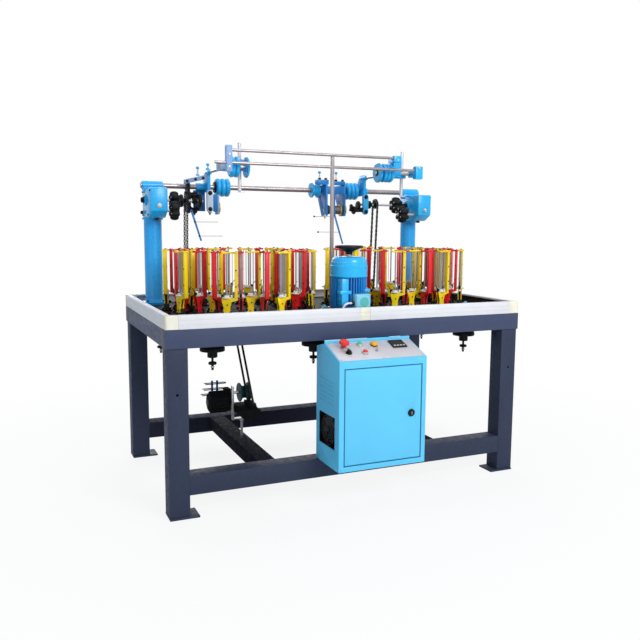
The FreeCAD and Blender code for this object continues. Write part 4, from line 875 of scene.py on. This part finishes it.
def chains():
    form = Form()
    for x in CHAIN_X:
        chain(form, x, (SHAFT_BACK, SHAFT_Z), CHAIN_FOOT, 26.2)
    foot, level = BELT_FOOT
    rise = GEAR_BASE_BOTTOM - level
    half = 3.0 / cos(BELT_LEAN)
    for side in (-1, 1):
        d = foot + side * BELT_GAP / cos(BELT_LEAN)
        reach = d + rise * tan(BELT_LEAN)
        top = level + rise
        strand = [(d - half, level), (d + half, level), (reach + half, top), (reach - half, top)]
        form.plate(strand, LOWER_X - 4.5, LOWER_X + 4.5, 2, 0.8)
    build("chains_and_lower_belt", form, [CHAIN, STEEL, RUBBER], "black_metal", nodes=["chains_and_belt"])


# ---- rollers -----------------------------------------------------------------
def ridged(form, x, depth, z, length, radius, ridges, bore=0.0):
    """Roller with round ridges between narrow grooves."""
    groove = 12.0
    pitch = length / ridges
    core = radius - groove
    profile = [(bore, 0), (core, 0)]
    for i in range(ridges):
        for part in (0.02, 0.08, 0.18, 0.32, 0.5, 0.68, 0.82, 0.92, 0.98):
            swell = sqrt(1 - (2 * part - 1) ** 2) ** 0.8
            profile.append((core + groove * swell, (i + part) * pitch))
        profile.append((core, (i + 1) * pitch))
    profile.append((bore, length))
    if bore:
        profile.append((bore, 0))
    form.lathe(profile, 0, on_axis(x, depth, z), 48)


def rollers():
    form = Form()
    hole = MAIN_R + 0.1
    for x in (-392, 306):
        ridged(form, x, MAIN_BACK, MAIN_Z, 68, ROLLER_R, 3, hole)
    half = [(hole, 0), (36, 0), (38, 2), (38, 8), (30, 14)]
    drum = half + [(27, 22)] + [(r, 44 - z) for r, z in reversed(half)] + [(hole, 0)]
    form.lathe(drum, 0, on_axis(112, MAIN_BACK, MAIN_Z), 40)
    for x, r in ((-399, 27), (299, 23)):
        nut = [(hole, 0), (r - 2, 0), (r, 2), (r, 6), (r - 2, 7.5), (hole, 7.5), (hole, 0)]
        form.lathe(nut, 1, on_axis(x, MAIN_BACK, MAIN_Z), 28)
    finished("take_up_rollers", form, [AZURE, IRON], "azure")

    form = Form()
    ridged(form, -452, UPPER_BACK, UPPER_Z, 40, ROLLER_R, 2)
    form.disc(ROLLER_R, 0, 9, 0, on_axis(-380, UPPER_BACK, UPPER_Z), 2.5, 48)
    form.bar(-488, -366, UPPER_BACK, UPPER_Z, 8, 1, 1.0, 24)
    finished("upper_roller_left", form, [AZURE, STEEL], "azure")
    form = Form()
    flange = on_axis(261, UPPER_BACK, UPPER_Z)
    form.disc(ROLLER_R, 0, 12, 0, flange, 3.0, 48)
    form.disc(15, -3, 0.5, 2, flange, 1.5, 32)
    ridged(form, 283, UPPER_BACK, UPPER_Z, 54, 43, 3)
    form.bar(256, 458, UPPER_BACK, UPPER_Z, 8, 1, 1.0, 24)
    finished("upper_roller_right", form, [AZURE, STEEL, IRON], "azure")


def press_rollers():
    for name, roller, radius, pin, brass, brass_r in (
        ("press_roller_right", (177.5, 257.5), 22, (160, 284), 275, 29),
        ("press_roller_left", (-416, -406), 20, (-416, -388), -393, 27),
    ):
        form = Form()
        form.bar(roller[0], roller[1], PRESS_BACK, PRESS_Z, radius, 0, 2.0, 40)
        form.bar(pin[0], pin[1], PRESS_BACK, PRESS_Z, 5, 1, 0.8, 20)
        toothed_wheel(form, brass, brass_r, 5.0)
        if roller[0] > 0:
            toothed_wheel(form, roller[1] - 8, 28, 4.0)
            form.disc(26, 0, 3, 3, on_axis(roller[0] + 4, PRESS_BACK, PRESS_Z), 0.6, 32)
        finished(name, form, [ROLLER_GREY, STEEL, BRASS, IRON], "azure")


# ---- take-up brackets, screws and levers ---------------------------------------
def bracket_finish(x, d, z):
    """Black hanger on the far left, the sloping plate in the paler painted-light azure, azure brackets."""
    if x < -520 and z < 1300:
        return 1
    return 2 if x < -470 else 0


def plate_finish(x, d, z):
    """Left bar and end plate in the painted highlight, the left unit's middle plates in the paler
    painted-light azure, right bar azure, the rest darker cast plates.
    """
    if x < -430:
        return 1
    if x > 350:
        return 0
    # The left unit's middle plates get the paler painted-light azure.
    return 3 if -402 < x < 0 else 2


def take_up_bolts():
    form = Form()
    for x in TAKE_UP_X:
        for z in (1214, 1290):
            face = stand(at(x, TAKE_UP_FACE, z), IN)
            form.prism(ngon(9.5), -7, 0, 0, face, 1.0)
            form.disc(10.5, -1.4, 0, 0, face, 0.5, 24)
    for x, z in ((-546, 1343), (-506, 1353), (-470, 1360)):
        form.disc(6.5, -3, 0, 0, stand(at(x, 745, z), IN), 1.0, 20)
    for x, z in ((132, 1372), (166, 1372), (222, 1366), (260, 1366)):
        form.prism(ngon(8), 0, 9, 0, lift(x, 744, z), 0.8)
    form.lathe([(0, -16), (2, -14), (9, 0), (0, 0)], 1, lift(TAKE_UP_X[0], 737, 1200), 16)
    build("take_up_bolts", form, [IRON, STEEL], "black_metal")


def take_up():
    dress("take_up_brackets", [AZURE, IRON, AZURE_LEFT_LIGHT], 1.8, "azure", bracket_finish)
    dress("take_up_plates", [AZURE, AZURE_HIGHLIGHT, AZURE_DARK, AZURE_LEFT_LIGHT], 1.4, "azure", plate_finish)
    take_up_bolts()
    sleeves = Form()
    for x in TAKE_UP_X:
        sleeves.rod(at(x, TAKE_UP_FACE, ARM_ROD_Z), at(x, 776, ARM_ROD_Z), 12, 0, 2.0, 28)
    build("arm_rod_sleeves", sleeves, [AZURE], "azure")
    clutch = Form()
    back = SHAFT_BACK
    clutch.rod(at(-541, back + 62, 1276), at(-478, back + 62, 1284), 15, 0, 2.0, 20)
    clutch.rod(at(-541, back + 44, 1236), at(-486, back + 44, 1200), 8, 0, 2.0, 16)
    for x, z, r in ((-541, 1236, 17), (-500, 1204, 19), (-478, 1222, 13)):
        clutch.disc(r, -7, 7, 0, on_axis(x, back + 50, z), 3.0, 24)
    clutch.block(-545, -515, back + 34, back + 60, 1200, 1300, 0, 6.0)
    clutch.block(-498, -440, back + 60, back + 70, 1206, 1306, 1, 2.0)
    clutch.block(330, 382, 736, 750, 1212, 1236, 0, 3.0)
    clutch.bar(304, 350, 748, 1224, 9, 0, 2.0, 20)
    for x, z, r in ((312, 1240, 13), (326, 1222, 21), (351, 1246, 23)):
        clutch.disc(r, -6, 6, 0, on_axis(x, 745, z), 3.0, 24)
    build("take_up_clutch_castings", clutch, [IRON, AZURE_DARK], "black_metal")


def pressure_screws():
    knob = [(0, 0), (4, 0), (8.6, 5.5), (8.8, 8), (5, 13), (0, 13.6)]
    places = (
        (-494, 751, 1370, 1400), (-441, 765, 1402.3, 1418),
        (136, 756, 1372.3, 1402), (229, 756, 1366.3, 1402),
    )
    for i, (x, d, z0, z1) in enumerate(places, 1):
        form = Form()
        form.rod(at(x, d, z0), at(x, d, z1), 3.6, 1, 0.4, 16)
        form.prism(ngon(8.6), 0, 7, 0, lift(x, d, z0), 0.8)
        form.lathe(knob, 0, lift(x, d, z1), 8)
        finished("pressure_screw_%d" % i, form, [AZURE, STEEL], "black")


def stop_lever(name, pivot, drop, pin_length, wires, disc=None):
    """Flat bar on a pivot pin, with its feeler wires and their beads."""
    form = Form()
    lean = Vector((0.305, 0, -0.952))
    bar = [(-7, -5), (drop, -4), (drop, 4), (-7, 5)]
    form.prism(bar, -1.8, 1.8, 0, stand(pivot + IN * 2, IN, lean), 0.6)
    form.rod(pivot - IN, pivot + IN * pin_length, 2.8, 2, 0.3, 16)
    for along, x0, x1 in wires:
        start = Vector((x0, pivot.y + 2, (pivot + lean * along).z))
        form.rod(start, start + RIGHT * (x1 - x0), 1.3, 1, 0.2, 8)
        form.disc(4, -1, 7, 2, stand(start, RIGHT), 1.5, 12)
    if disc:
        place = Vector((disc, pivot.y + 2, (pivot + lean * wires[0][0]).z))
        form.disc(11, 0, 4, 3, stand(place, RIGHT), 1.0, 28)
    finished(name, form, [AZURE_DARK, SPINDLE, IRON, CREAM], "azure")


def stop_levers():
    stop_lever("stop_lever_left", at(-530, 733, 1204), 147, 63.5, ((53, -518, -402), (123, -497, -380)))
    stop_lever("stop_lever_right", at(206, 719, 1196), 155, 15.5, ((10, 90, 206), (92, 112, 230)), 150.0)


def upper():
    form = Form()
    form.bar(-488, 340, ROD_BACK, ROD_A_Z, ROD_R, 0, 0.8, 28)
    form.bar(-535, 450, ROD_BACK, ROD_B_Z, ROD_R, 0, 0.8, 28)
    for x in TAKE_UP_X:
        form.rod(at(x, 440, ARM_ROD_Z), at(x, 774, ARM_ROD_Z), ROD_R, 0, 0.8, 28)
    build("upper_cross_rods", form, [ROD], "chrome", nodes=["upper_rods"])
    form = Form()
    for x in GUIDE_ROD_X:
        form.rod(at(x, GUIDE_ROD_BACK, 1284), at(x, GUIDE_ROD_BACK, 1492), 8, 0, 0.8, 28)
        form.box((29, 10, 4), 0, lift(x + 7, GUIDE_ROD_BACK, 1282), 1.0)
    form.rod(at(0, ROD_BACK, DECK_TOP), at(0, ROD_BACK, ROD_A_Z - ROD_R), 9.0, 1, 0.8, 28)
    form.lathe([(0, 0), (18, 0), (19, 2), (14, 14), (10, 16), (0, 16)], 1, lift(0, ROD_BACK, DECK_TOP), 28)
    finished("guide_rods", form, [PALE_ROD, ROD], "chrome", "frame")
    # Brackets on the left (x < 0) get the paler painted-light azure, those on the right plain azure.
    dress("upper_brackets", [AZURE, AZURE_LEFT_LIGHT], 2.2, "azure", lambda x, d, z: x < 0, 3)
    screws = Form()
    for z in (1432, 1380):
        screws.disc(4.5, -2, 0, 0, stand(at(-475, 288, z), IN), 0.6, 16)
    for x, d, z in ((439, 286, 1408), (325, 286, 1440), (-399, 384, 1380), (-391, 384, 1404)):
        screws.prism(ngon(4.5), -3, 0, 0, stand(at(x, d, z), IN), 0.5)
    build("upper_bracket_screws", screws, [STEEL], "black_metal")


# ---- motor -------------------------------------------------------------------
def motor():
    base = lift(MOTOR_X, MOTOR_BACK)
    enamel, fins, iron, bright = range(4)
    form = Form()
    core = [
        (0, 760), (91, 760), (92, 761), (92, 772), (90, 774), (79, 776), (MOTOR_R, 780),
        (MOTOR_R, 796), (76, 798), (67, 799), (67, COWL_BOTTOM), (0, COWL_BOTTOM),
    ]
    form.lathe(core, enamel, base, 64)
    for i in range(40):
        form.box((13, 3.0, 124), fins, base @ spin(i, 40) @ shift(71, 0, 860), 0.4)
    for u, v in ngon(84, 4, pi / 4):
        form.prism(ngon(6), 774, 780, iron, base @ shift(u, v), 0.8)
    form.block(MOTOR_X - 66, MOTOR_X - 34, 58, 100, 800, 918, bright, 5.0)
    form.block(MOTOR_X - 74, MOTOR_X - 20, 56, 90, 852, 868, bright, 4.0)
    form.block(MOTOR_X + 48, MOTOR_X + 76, 72, 100, 856, 872, bright, 4.0)
    build("motor_ribbed_body", form, [DEEP_AZURE, FIN_BLUE, IRON, AZURE], "azure", nodes=["motor_body"])

    r, inside = COWL_R, 74.0
    cowl = [
        (inside, 0), (r, 0), (r, 47), (r - 1.5, 49), (r - 2.5, 62), (r - 4.5, 64), (r - 6, 73), (r - 11, 80),
        (r - 20, 84.5), (r - 34, 86), (12, 86), (12, 83), (50, 80), (66, 74), (72, 58), (inside, 0),
    ]
    low = base @ shift(0, 0, COWL_BOTTOM)
    form = Form().lathe(cowl, 0, low, 64)
    form.lathe([(r - 0.5, 2), (r + 0.8, 3), (r + 0.8, 7), (r - 0.5, 8)], 0, low, 64)
    finished("motor_cowl", form, [AZURE], "azure", "frame")

    form = Form()
    rim = [
        (0, 0), (15, 0), (16, 2), (16, 10), (28, 16), (44, 24), (51, 28), (56, 26.5), (60, 28),
        (61, 31.5), (60, 35.5), (57, 37.5), (53, 37), (48, 33), (32, 22), (20, 18), (14, 19), (12, 24),
        (0, 24),
    ]
    wheel_z = COWL_TOP + 9
    form.lathe(rim, 0, base @ shift(0, 0, wheel_z), 56)
    form.lathe([(0, 880), (7.6, 880), (7.6, wheel_z), (0, wheel_z)], 1, base, 20)
    finished("handwheel", form, [BLACK, STEEL], "black")
    terminal_box()


def terminal_box():
    """Box on the motor's front, and the conduit that bends down from it to the deck."""
    form = Form()
    form.block(-10, 62, 31, 69, 790, 854, 0, 5.0)
    form.block(-6, 58, 28, 32, 794, 850, 0, 1.4)
    form.lathe([(0, 0), (20, 0), (20.6, 0.6), (20.6, 1.4), (0, 2)], 1, stand(at(30, 28.4, 821), -IN), 36)
    for x, z in ((-2, 798), (54, 798), (54, 846), (-2, 846)):
        form.lathe([(0, 0), (2.6, 0), (2.6, 1.0), (0, 1.2)], 2, stand(at(x, 28.2, z), -IN), 12)
    finished("terminal_box", form, [CYAN_PALE, LABEL_GREEN, STEEL], "azure", "frame")

    start, bend = at(-10, 44, 816), at(-34, 44, 816)
    radius = 28.0
    points = [start, bend]
    for i in range(1, 11):
        a = radians(9.0 * i)
        points.append(bend + Vector((-radius * sin(a), 0, radius * (cos(a) - 1))))
    points.append(Vector((points[-1].x, points[-1].y, DECK_TOP)))
    form = Form().tube(points, 5.2, 0, 14)
    form.lathe([(0, 0), (8, 0), (8, 6), (6, 12), (0, 12)], 1, stand(start, -RIGHT), 16)
    finished("motor_conduit", form, [ZINC, BLACK], "black", "frame")


# ---- cabinet -----------------------------------------------------------------
def on_panel(x, up_slope, above=2.0):
    """Matrix standing on the sloping panel, from its front edge up the slope."""
    d = PANEL_FRONT + up_slope * cos(PANEL_TILT)
    z = PANEL_FRONT_Z + up_slope * sin(PANEL_TILT)
    return stand(at(x, d, z) + PANEL_NORMAL * above, PANEL_NORMAL, RIGHT)


def control_gear():
    """What stands inside the cabinet, with the fan behind the window in its left wall."""
    form = Form()
    wall = 34.0
    board = wall - 14
    form.block(-160, 186, board, wall, 200, 600, 0, 1.0)
    form.block(-40, 60, wall - 94, board, 400, 560, 0, 3.0)
    form.block(-120, 150, wall - 44, board, 220, 250, 0, 1.5)
    for x in (-60, -10, 40, 90):
        form.block(x, x + 44, wall - 74, board, 300, 370, 0, 2.0)
    inner, outer = -151.0, -178.0
    d, z = -67.0, 316.0
    duct = ((-151, -145, 244, 388), (11, 17, 244, 388), (-145, 11, 244, 250), (-145, 11, 382, 388))
    for d0, d1, z0, z1 in duct:
        form.block(outer, inner + 2, d0, d1, z0, z1, 0, 0.0)
    form.block(inner, inner + 2, -145, 11, 250, 382, 0, 0.0)
    hub = on_axis(outer + 9, d, z)
    form.disc(19, 0, 16, 0, hub, 1.5, 28)
    blade = [(17, -9), (58, -21), (61, 4), (17, 7)]
    for i in range(7):
        form.prism(blade, 7, 8.5, 1, hub @ spin(i, 7) @ Matrix.Rotation(0.5, 4, "X"))
    for r in (24, 36, 48, 60):
        ring = [(r - 0.9, 0), (r + 0.9, 0), (r + 0.9, 1.8), (r - 0.9, 1.8), (r - 0.9, 0)]
        form.lathe(ring, 1, on_axis(outer + 1, d, z), 40)
    for u, v in ngon(62, 4, pi / 4):
        form.rod(at(outer + 2, d, z), at(outer + 2, d + u, z + v), 1.2, 1, 0.2, 6)
    finished("control_gear", form, [SOOT, FAN_GREY], "black", "frame")


def louvres():
    """Shallow pressed louvres on the cabinet's left side, above the fan."""
    form = Form()
    face, length = -184.0, 60.0
    outline = [(0, 0), (-1.1, 2.0), (-1.1, 4.0), (0, 6)]
    for row in range(6):
        for d in (-134, -60):
            m = Matrix(((1, 0, 0, face), (0, 0, 1, FRONT + d), (0, 1, 0, 428.0 + 18.0 * row), (0, 0, 0, 1)))
            form.prism(outline, 0, length, 0, m)
    build("cabinet_louvres", form, [SKY], "sky")


def control_panel():
    black, window, white, steel, amber, zinc = range(6)
    form = Form()
    left, right, low, high = -178, 205, 6, 150
    form.box((right - left, high - low, 2), zinc, on_panel((left + right) / 2, (low + high) / 2, 1.0), 0.5)
    m = on_panel(*DISPLAY)
    form.box((66, 58, 5), black, m @ shift(0, 0, 2.5), 1.2)
    form.box((56, 30, 1), window, m @ shift(0, 9, 5.1), 0.3)
    for i in range(4):
        form.box((9, 6, 1.6), white, m @ shift(-21 + 14 * i, -17, 5.4), 0.6)
    ring = [(10.5, 0), (14, 0), (14, 3), (12.8, 4), (10.5, 4), (10.5, 0)]
    for place in (START, STOP, EMERGENCY):
        form.lathe(ring, steel, on_panel(*place), 32)
    form.disc(16, 0, 4, black, on_panel(*LAMP), 1.0, 28)
    lens = [(0, 3.5), (14.5, 3.5), (15, 5), (14.5, 9), (12, 13), (7, 15.5), (0, 16)]
    form.lathe(lens, amber, on_panel(*LAMP), 28)
    nut = [(5.2, 0), (8.6, 0), (8.6, 1.6), (8, 2), (5.2, 2), (5.2, 0)]
    form.lathe(nut, steel, on_panel(*TOGGLE), 6)
    for x, up_slope in ((-170, 144), (-170, 12), (16, 10), (197, 12), (197, 144)):
        form.lathe([(0, 0), (3.6, 0), (3.2, 1.4), (0, 2)], steel, on_panel(x, up_slope), 14)
    finished("control_panel", form, [BLACK, GLASS_BLACK, WHITE, STEEL, AMBER, ZINC], "zinc", "frame")


def panel_controls():
    skirt = [(0, 0.4), (9.6, 0.4), (10, 1), (10, 5)]
    crown = [(10, 5), (10, 8), (9, 9.6), (4, 10), (0, 10)]
    for name, place, colour, slot in (
        ("start_button", START, GREEN_CAP, "green"), ("stop_button", STOP, RED_CAP, "red_plastic"),
    ):
        m = on_panel(*place, 5)
        finished(name, Form().lathe(skirt, 1, m, 32).lathe(crown, 0, m, 32), [colour, WHITE], slot)
    cap = [(0, 0), (9, 0), (9, 11), (17, 12), (20.6, 15), (21, 20), (19, 25), (13, 29), (0, 30.5)]
    finished("emergency_stop", Form().lathe(cap, 0, on_panel(*EMERGENCY, 8), 40), [RED_CAP], "red_plastic")
    m = on_panel(*SELECTOR, 2.3)
    form = Form()
    form.lathe([(0, 0), (15, 0), (15, 3), (14, 3.4)], 1, m, 32)
    form.lathe([(14, 3.4), (13.6, 6), (12, 8), (0, 8)], 0, m, 32)
    form.box((9, 25, 13), 0, m @ shift(0, 0, 13.5), 2.0)
    form.box((1.4, 9, 0.6), 1, m @ shift(0, 7, 20), 0.1)
    finished("selector_knob", form, [BLACK, WHITE], "black")
    lever = [(0, 0), (2.4, 0), (2.0, 6), (3.4, 16), (2.4, 18), (0, 18.4)]
    finished("toggle_switch", Form().lathe(lever, 0, on_panel(*TOGGLE, 4.5), 16), [STEEL], "chrome")


def door_lock(face):
    form = Form()
    form.lathe([(0, 0), (15, 0), (15, 4), (13, 7), (0, 7.6)], 0, stand(at(LOCK_X, face, LOCK_Z), -IN), 32)
    form.box((3, 1, 12), 1, lift(LOCK_X, face - 7.3, LOCK_Z), 0.2)
    form.rod(at(LOCK_X, face - 0.7, LOCK_Z), at(LOCK_X, face + 18, LOCK_Z), 8.8, 0, 0.6, 24)
    form.block(LOCK_X - 7, LOCK_X + 34, face + 14, face + 17, LOCK_Z - 7, LOCK_Z + 7, 2, 0.6)
    finished("door_lock", form, [BLACK, STEEL, ZINC], "black")


def cabinet():
    dress("cabinet_shell", [SKY], 0.9, "sky")
    dress("cabinet_door", [SKY], 1.6, "sky", body="cabinet_door")
    door_lock(PANEL_FRONT - 0.3)
    control_gear()
    louvres()
    # Strips round the door: its gap and a painted shadow of the inset door.
    seam = Form()
    low, high = 191.5, 585.5
    for x0, x1, z0, z1 in (
        (-161.5, -158, low, high), (187, 190.5, low, high), (-158, 187, low, 195), (-158, 187, 582, high),
    ):
        seam.block(x0, x1, PANEL_FRONT - 0.4, PANEL_FRONT + 1, z0, z1, 0, 0.0)
    build("door_seam_and_painted_shadow", seam, [SEAM_AND_SHADOW], "sky")
    lip = Form().block(-183, 210, -43, -38, 660, 678, 0, 1.5)
    build("cabinet_ridge_lip", lip, [SKY], "sky")
    control_panel()
    panel_controls()


# ---- below the table ---------------------------------------------------------
def hairpin(form, x0, x1, z, half, radius):
    """Flat loop of wire, round at its right end."""
    points = [at(x0, LOWER_BACK - half, z)]
    for i in range(9):
        a = pi * i / 8
        points.append(at(x1 + half * sin(a), LOWER_BACK - half * cos(a), z))
    form.tube(points + [at(x0, LOWER_BACK + half, z)], radius, 0, 8)


def gear_motor():
    soot, blue, grey = range(3)
    form = Form()
    axis = on_axis(-542, LOWER_BACK, 350)
    form.lathe([(0, 0), (36, 0), (42, 3), (43, 8), (43, 84), (0, 84)], soot, axis, 40)
    form.disc(17, -6, 2, grey, axis, 2.0, 20)
    for i in range(18):
        form.box((9, 6, 74), soot, axis @ spin(i, 18) @ shift(45.5, 0, 45), 2.0)
    form.block(-462, STRIP_X - 4, 424, 474, 302, 406, soot, 5.0)
    form.disc(26, -7, 7, soot, on_axis(-447, LOWER_BACK, 365), 2.0, 24)
    for x in (-523, -500):
        form.rod(at(x, LOWER_BACK, 390), at(x, LOWER_BACK, 448), 4.8, blue, 0.8, 16)
    for x0, x1, z in ((-556, -473, 435), (-564, -482, 410), (-572, -544, 386)):
        hairpin(form, x0, x1, z, 13.0, 2.2)
    foot, level = 300, BELT_FOOT[1]
    guard = [(252, foot), (440, foot), (440, level - 2), (385, level - 2), (372, level), (262, level)]
    form.plate(guard, STRIP_X + 5, LOWER_X + 24, soot, 2.0)
    form.plate([(262, 338), (366, 338), (376, 362), (292, 362)], LOWER_X - 18, LOWER_X + 12, soot, 1.5)
    finished("gear_motor", form, [SOOT, DEEP_BLUE, FAN_GREY], "azure", "frame")


def lower_pulley():
    half = [(0, 0), (41, 0), (43, 1.5), (43, 5), (38, 8), (32, 12), (28, 17)]
    spool = half + [(r, 48 - z) for r, z in reversed(half)]
    form = Form().lathe(spool, 0, on_axis(LOWER_X - 24, LOWER_BACK, LOWER_Z), 48)
    form.bar(-455, -345, LOWER_BACK, LOWER_Z, 6, 1, 0.6, 20)
    finished("lower_pulley", form, [TEAL, STEEL], "teal")


def below():
    form = Form()
    height = 142
    profile = [
        (0, 0), (5, 0), (5, 22), (15, 23), (17, 25), (17, 32), (15, 34), (5, 35), (5, 52), (19, 53),
        (21, 55), (21, 77), (23, 79), (50, 80), (52, 82), (52, 93), (50, 97), (30, 136),
        (27, height), (0, height),
    ]
    for x, d in BEARINGS:
        place = lift(x, d, GEAR_BASE_BOTTOM - height)
        form.lathe(profile, 0, place, 32)
        form.prism(ngon(8), 10, 16, 1, place, 0.6)
    finished("under_bearings", form, [IRON, STEEL], "plate", "frame")
    dress("tension_bracket", [STEEL], 1.0, "chrome")
    flange = Form().block(STRIP_X - 6, STRIP_X + 5, 410, 415, 262, 415, 0, 1.0)
    flange.prism(ngon(10), 253, 262, 0, lift(-386, LOWER_BACK), 1.0)
    build("tension_bracket_flange", flange, [STEEL], "chrome")
    dress("hold_down_brackets", [PAD_BLUE], 0.8, "azure")
    gear_motor()
    lower_pulley()


camera()
studio()
table()
deck()
carriers()
columns()
gearboxes()
shafts()
chains()
rollers()
press_rollers()
take_up()
pressure_screws()
stop_levers()
upper()
motor()
cabinet()
below()
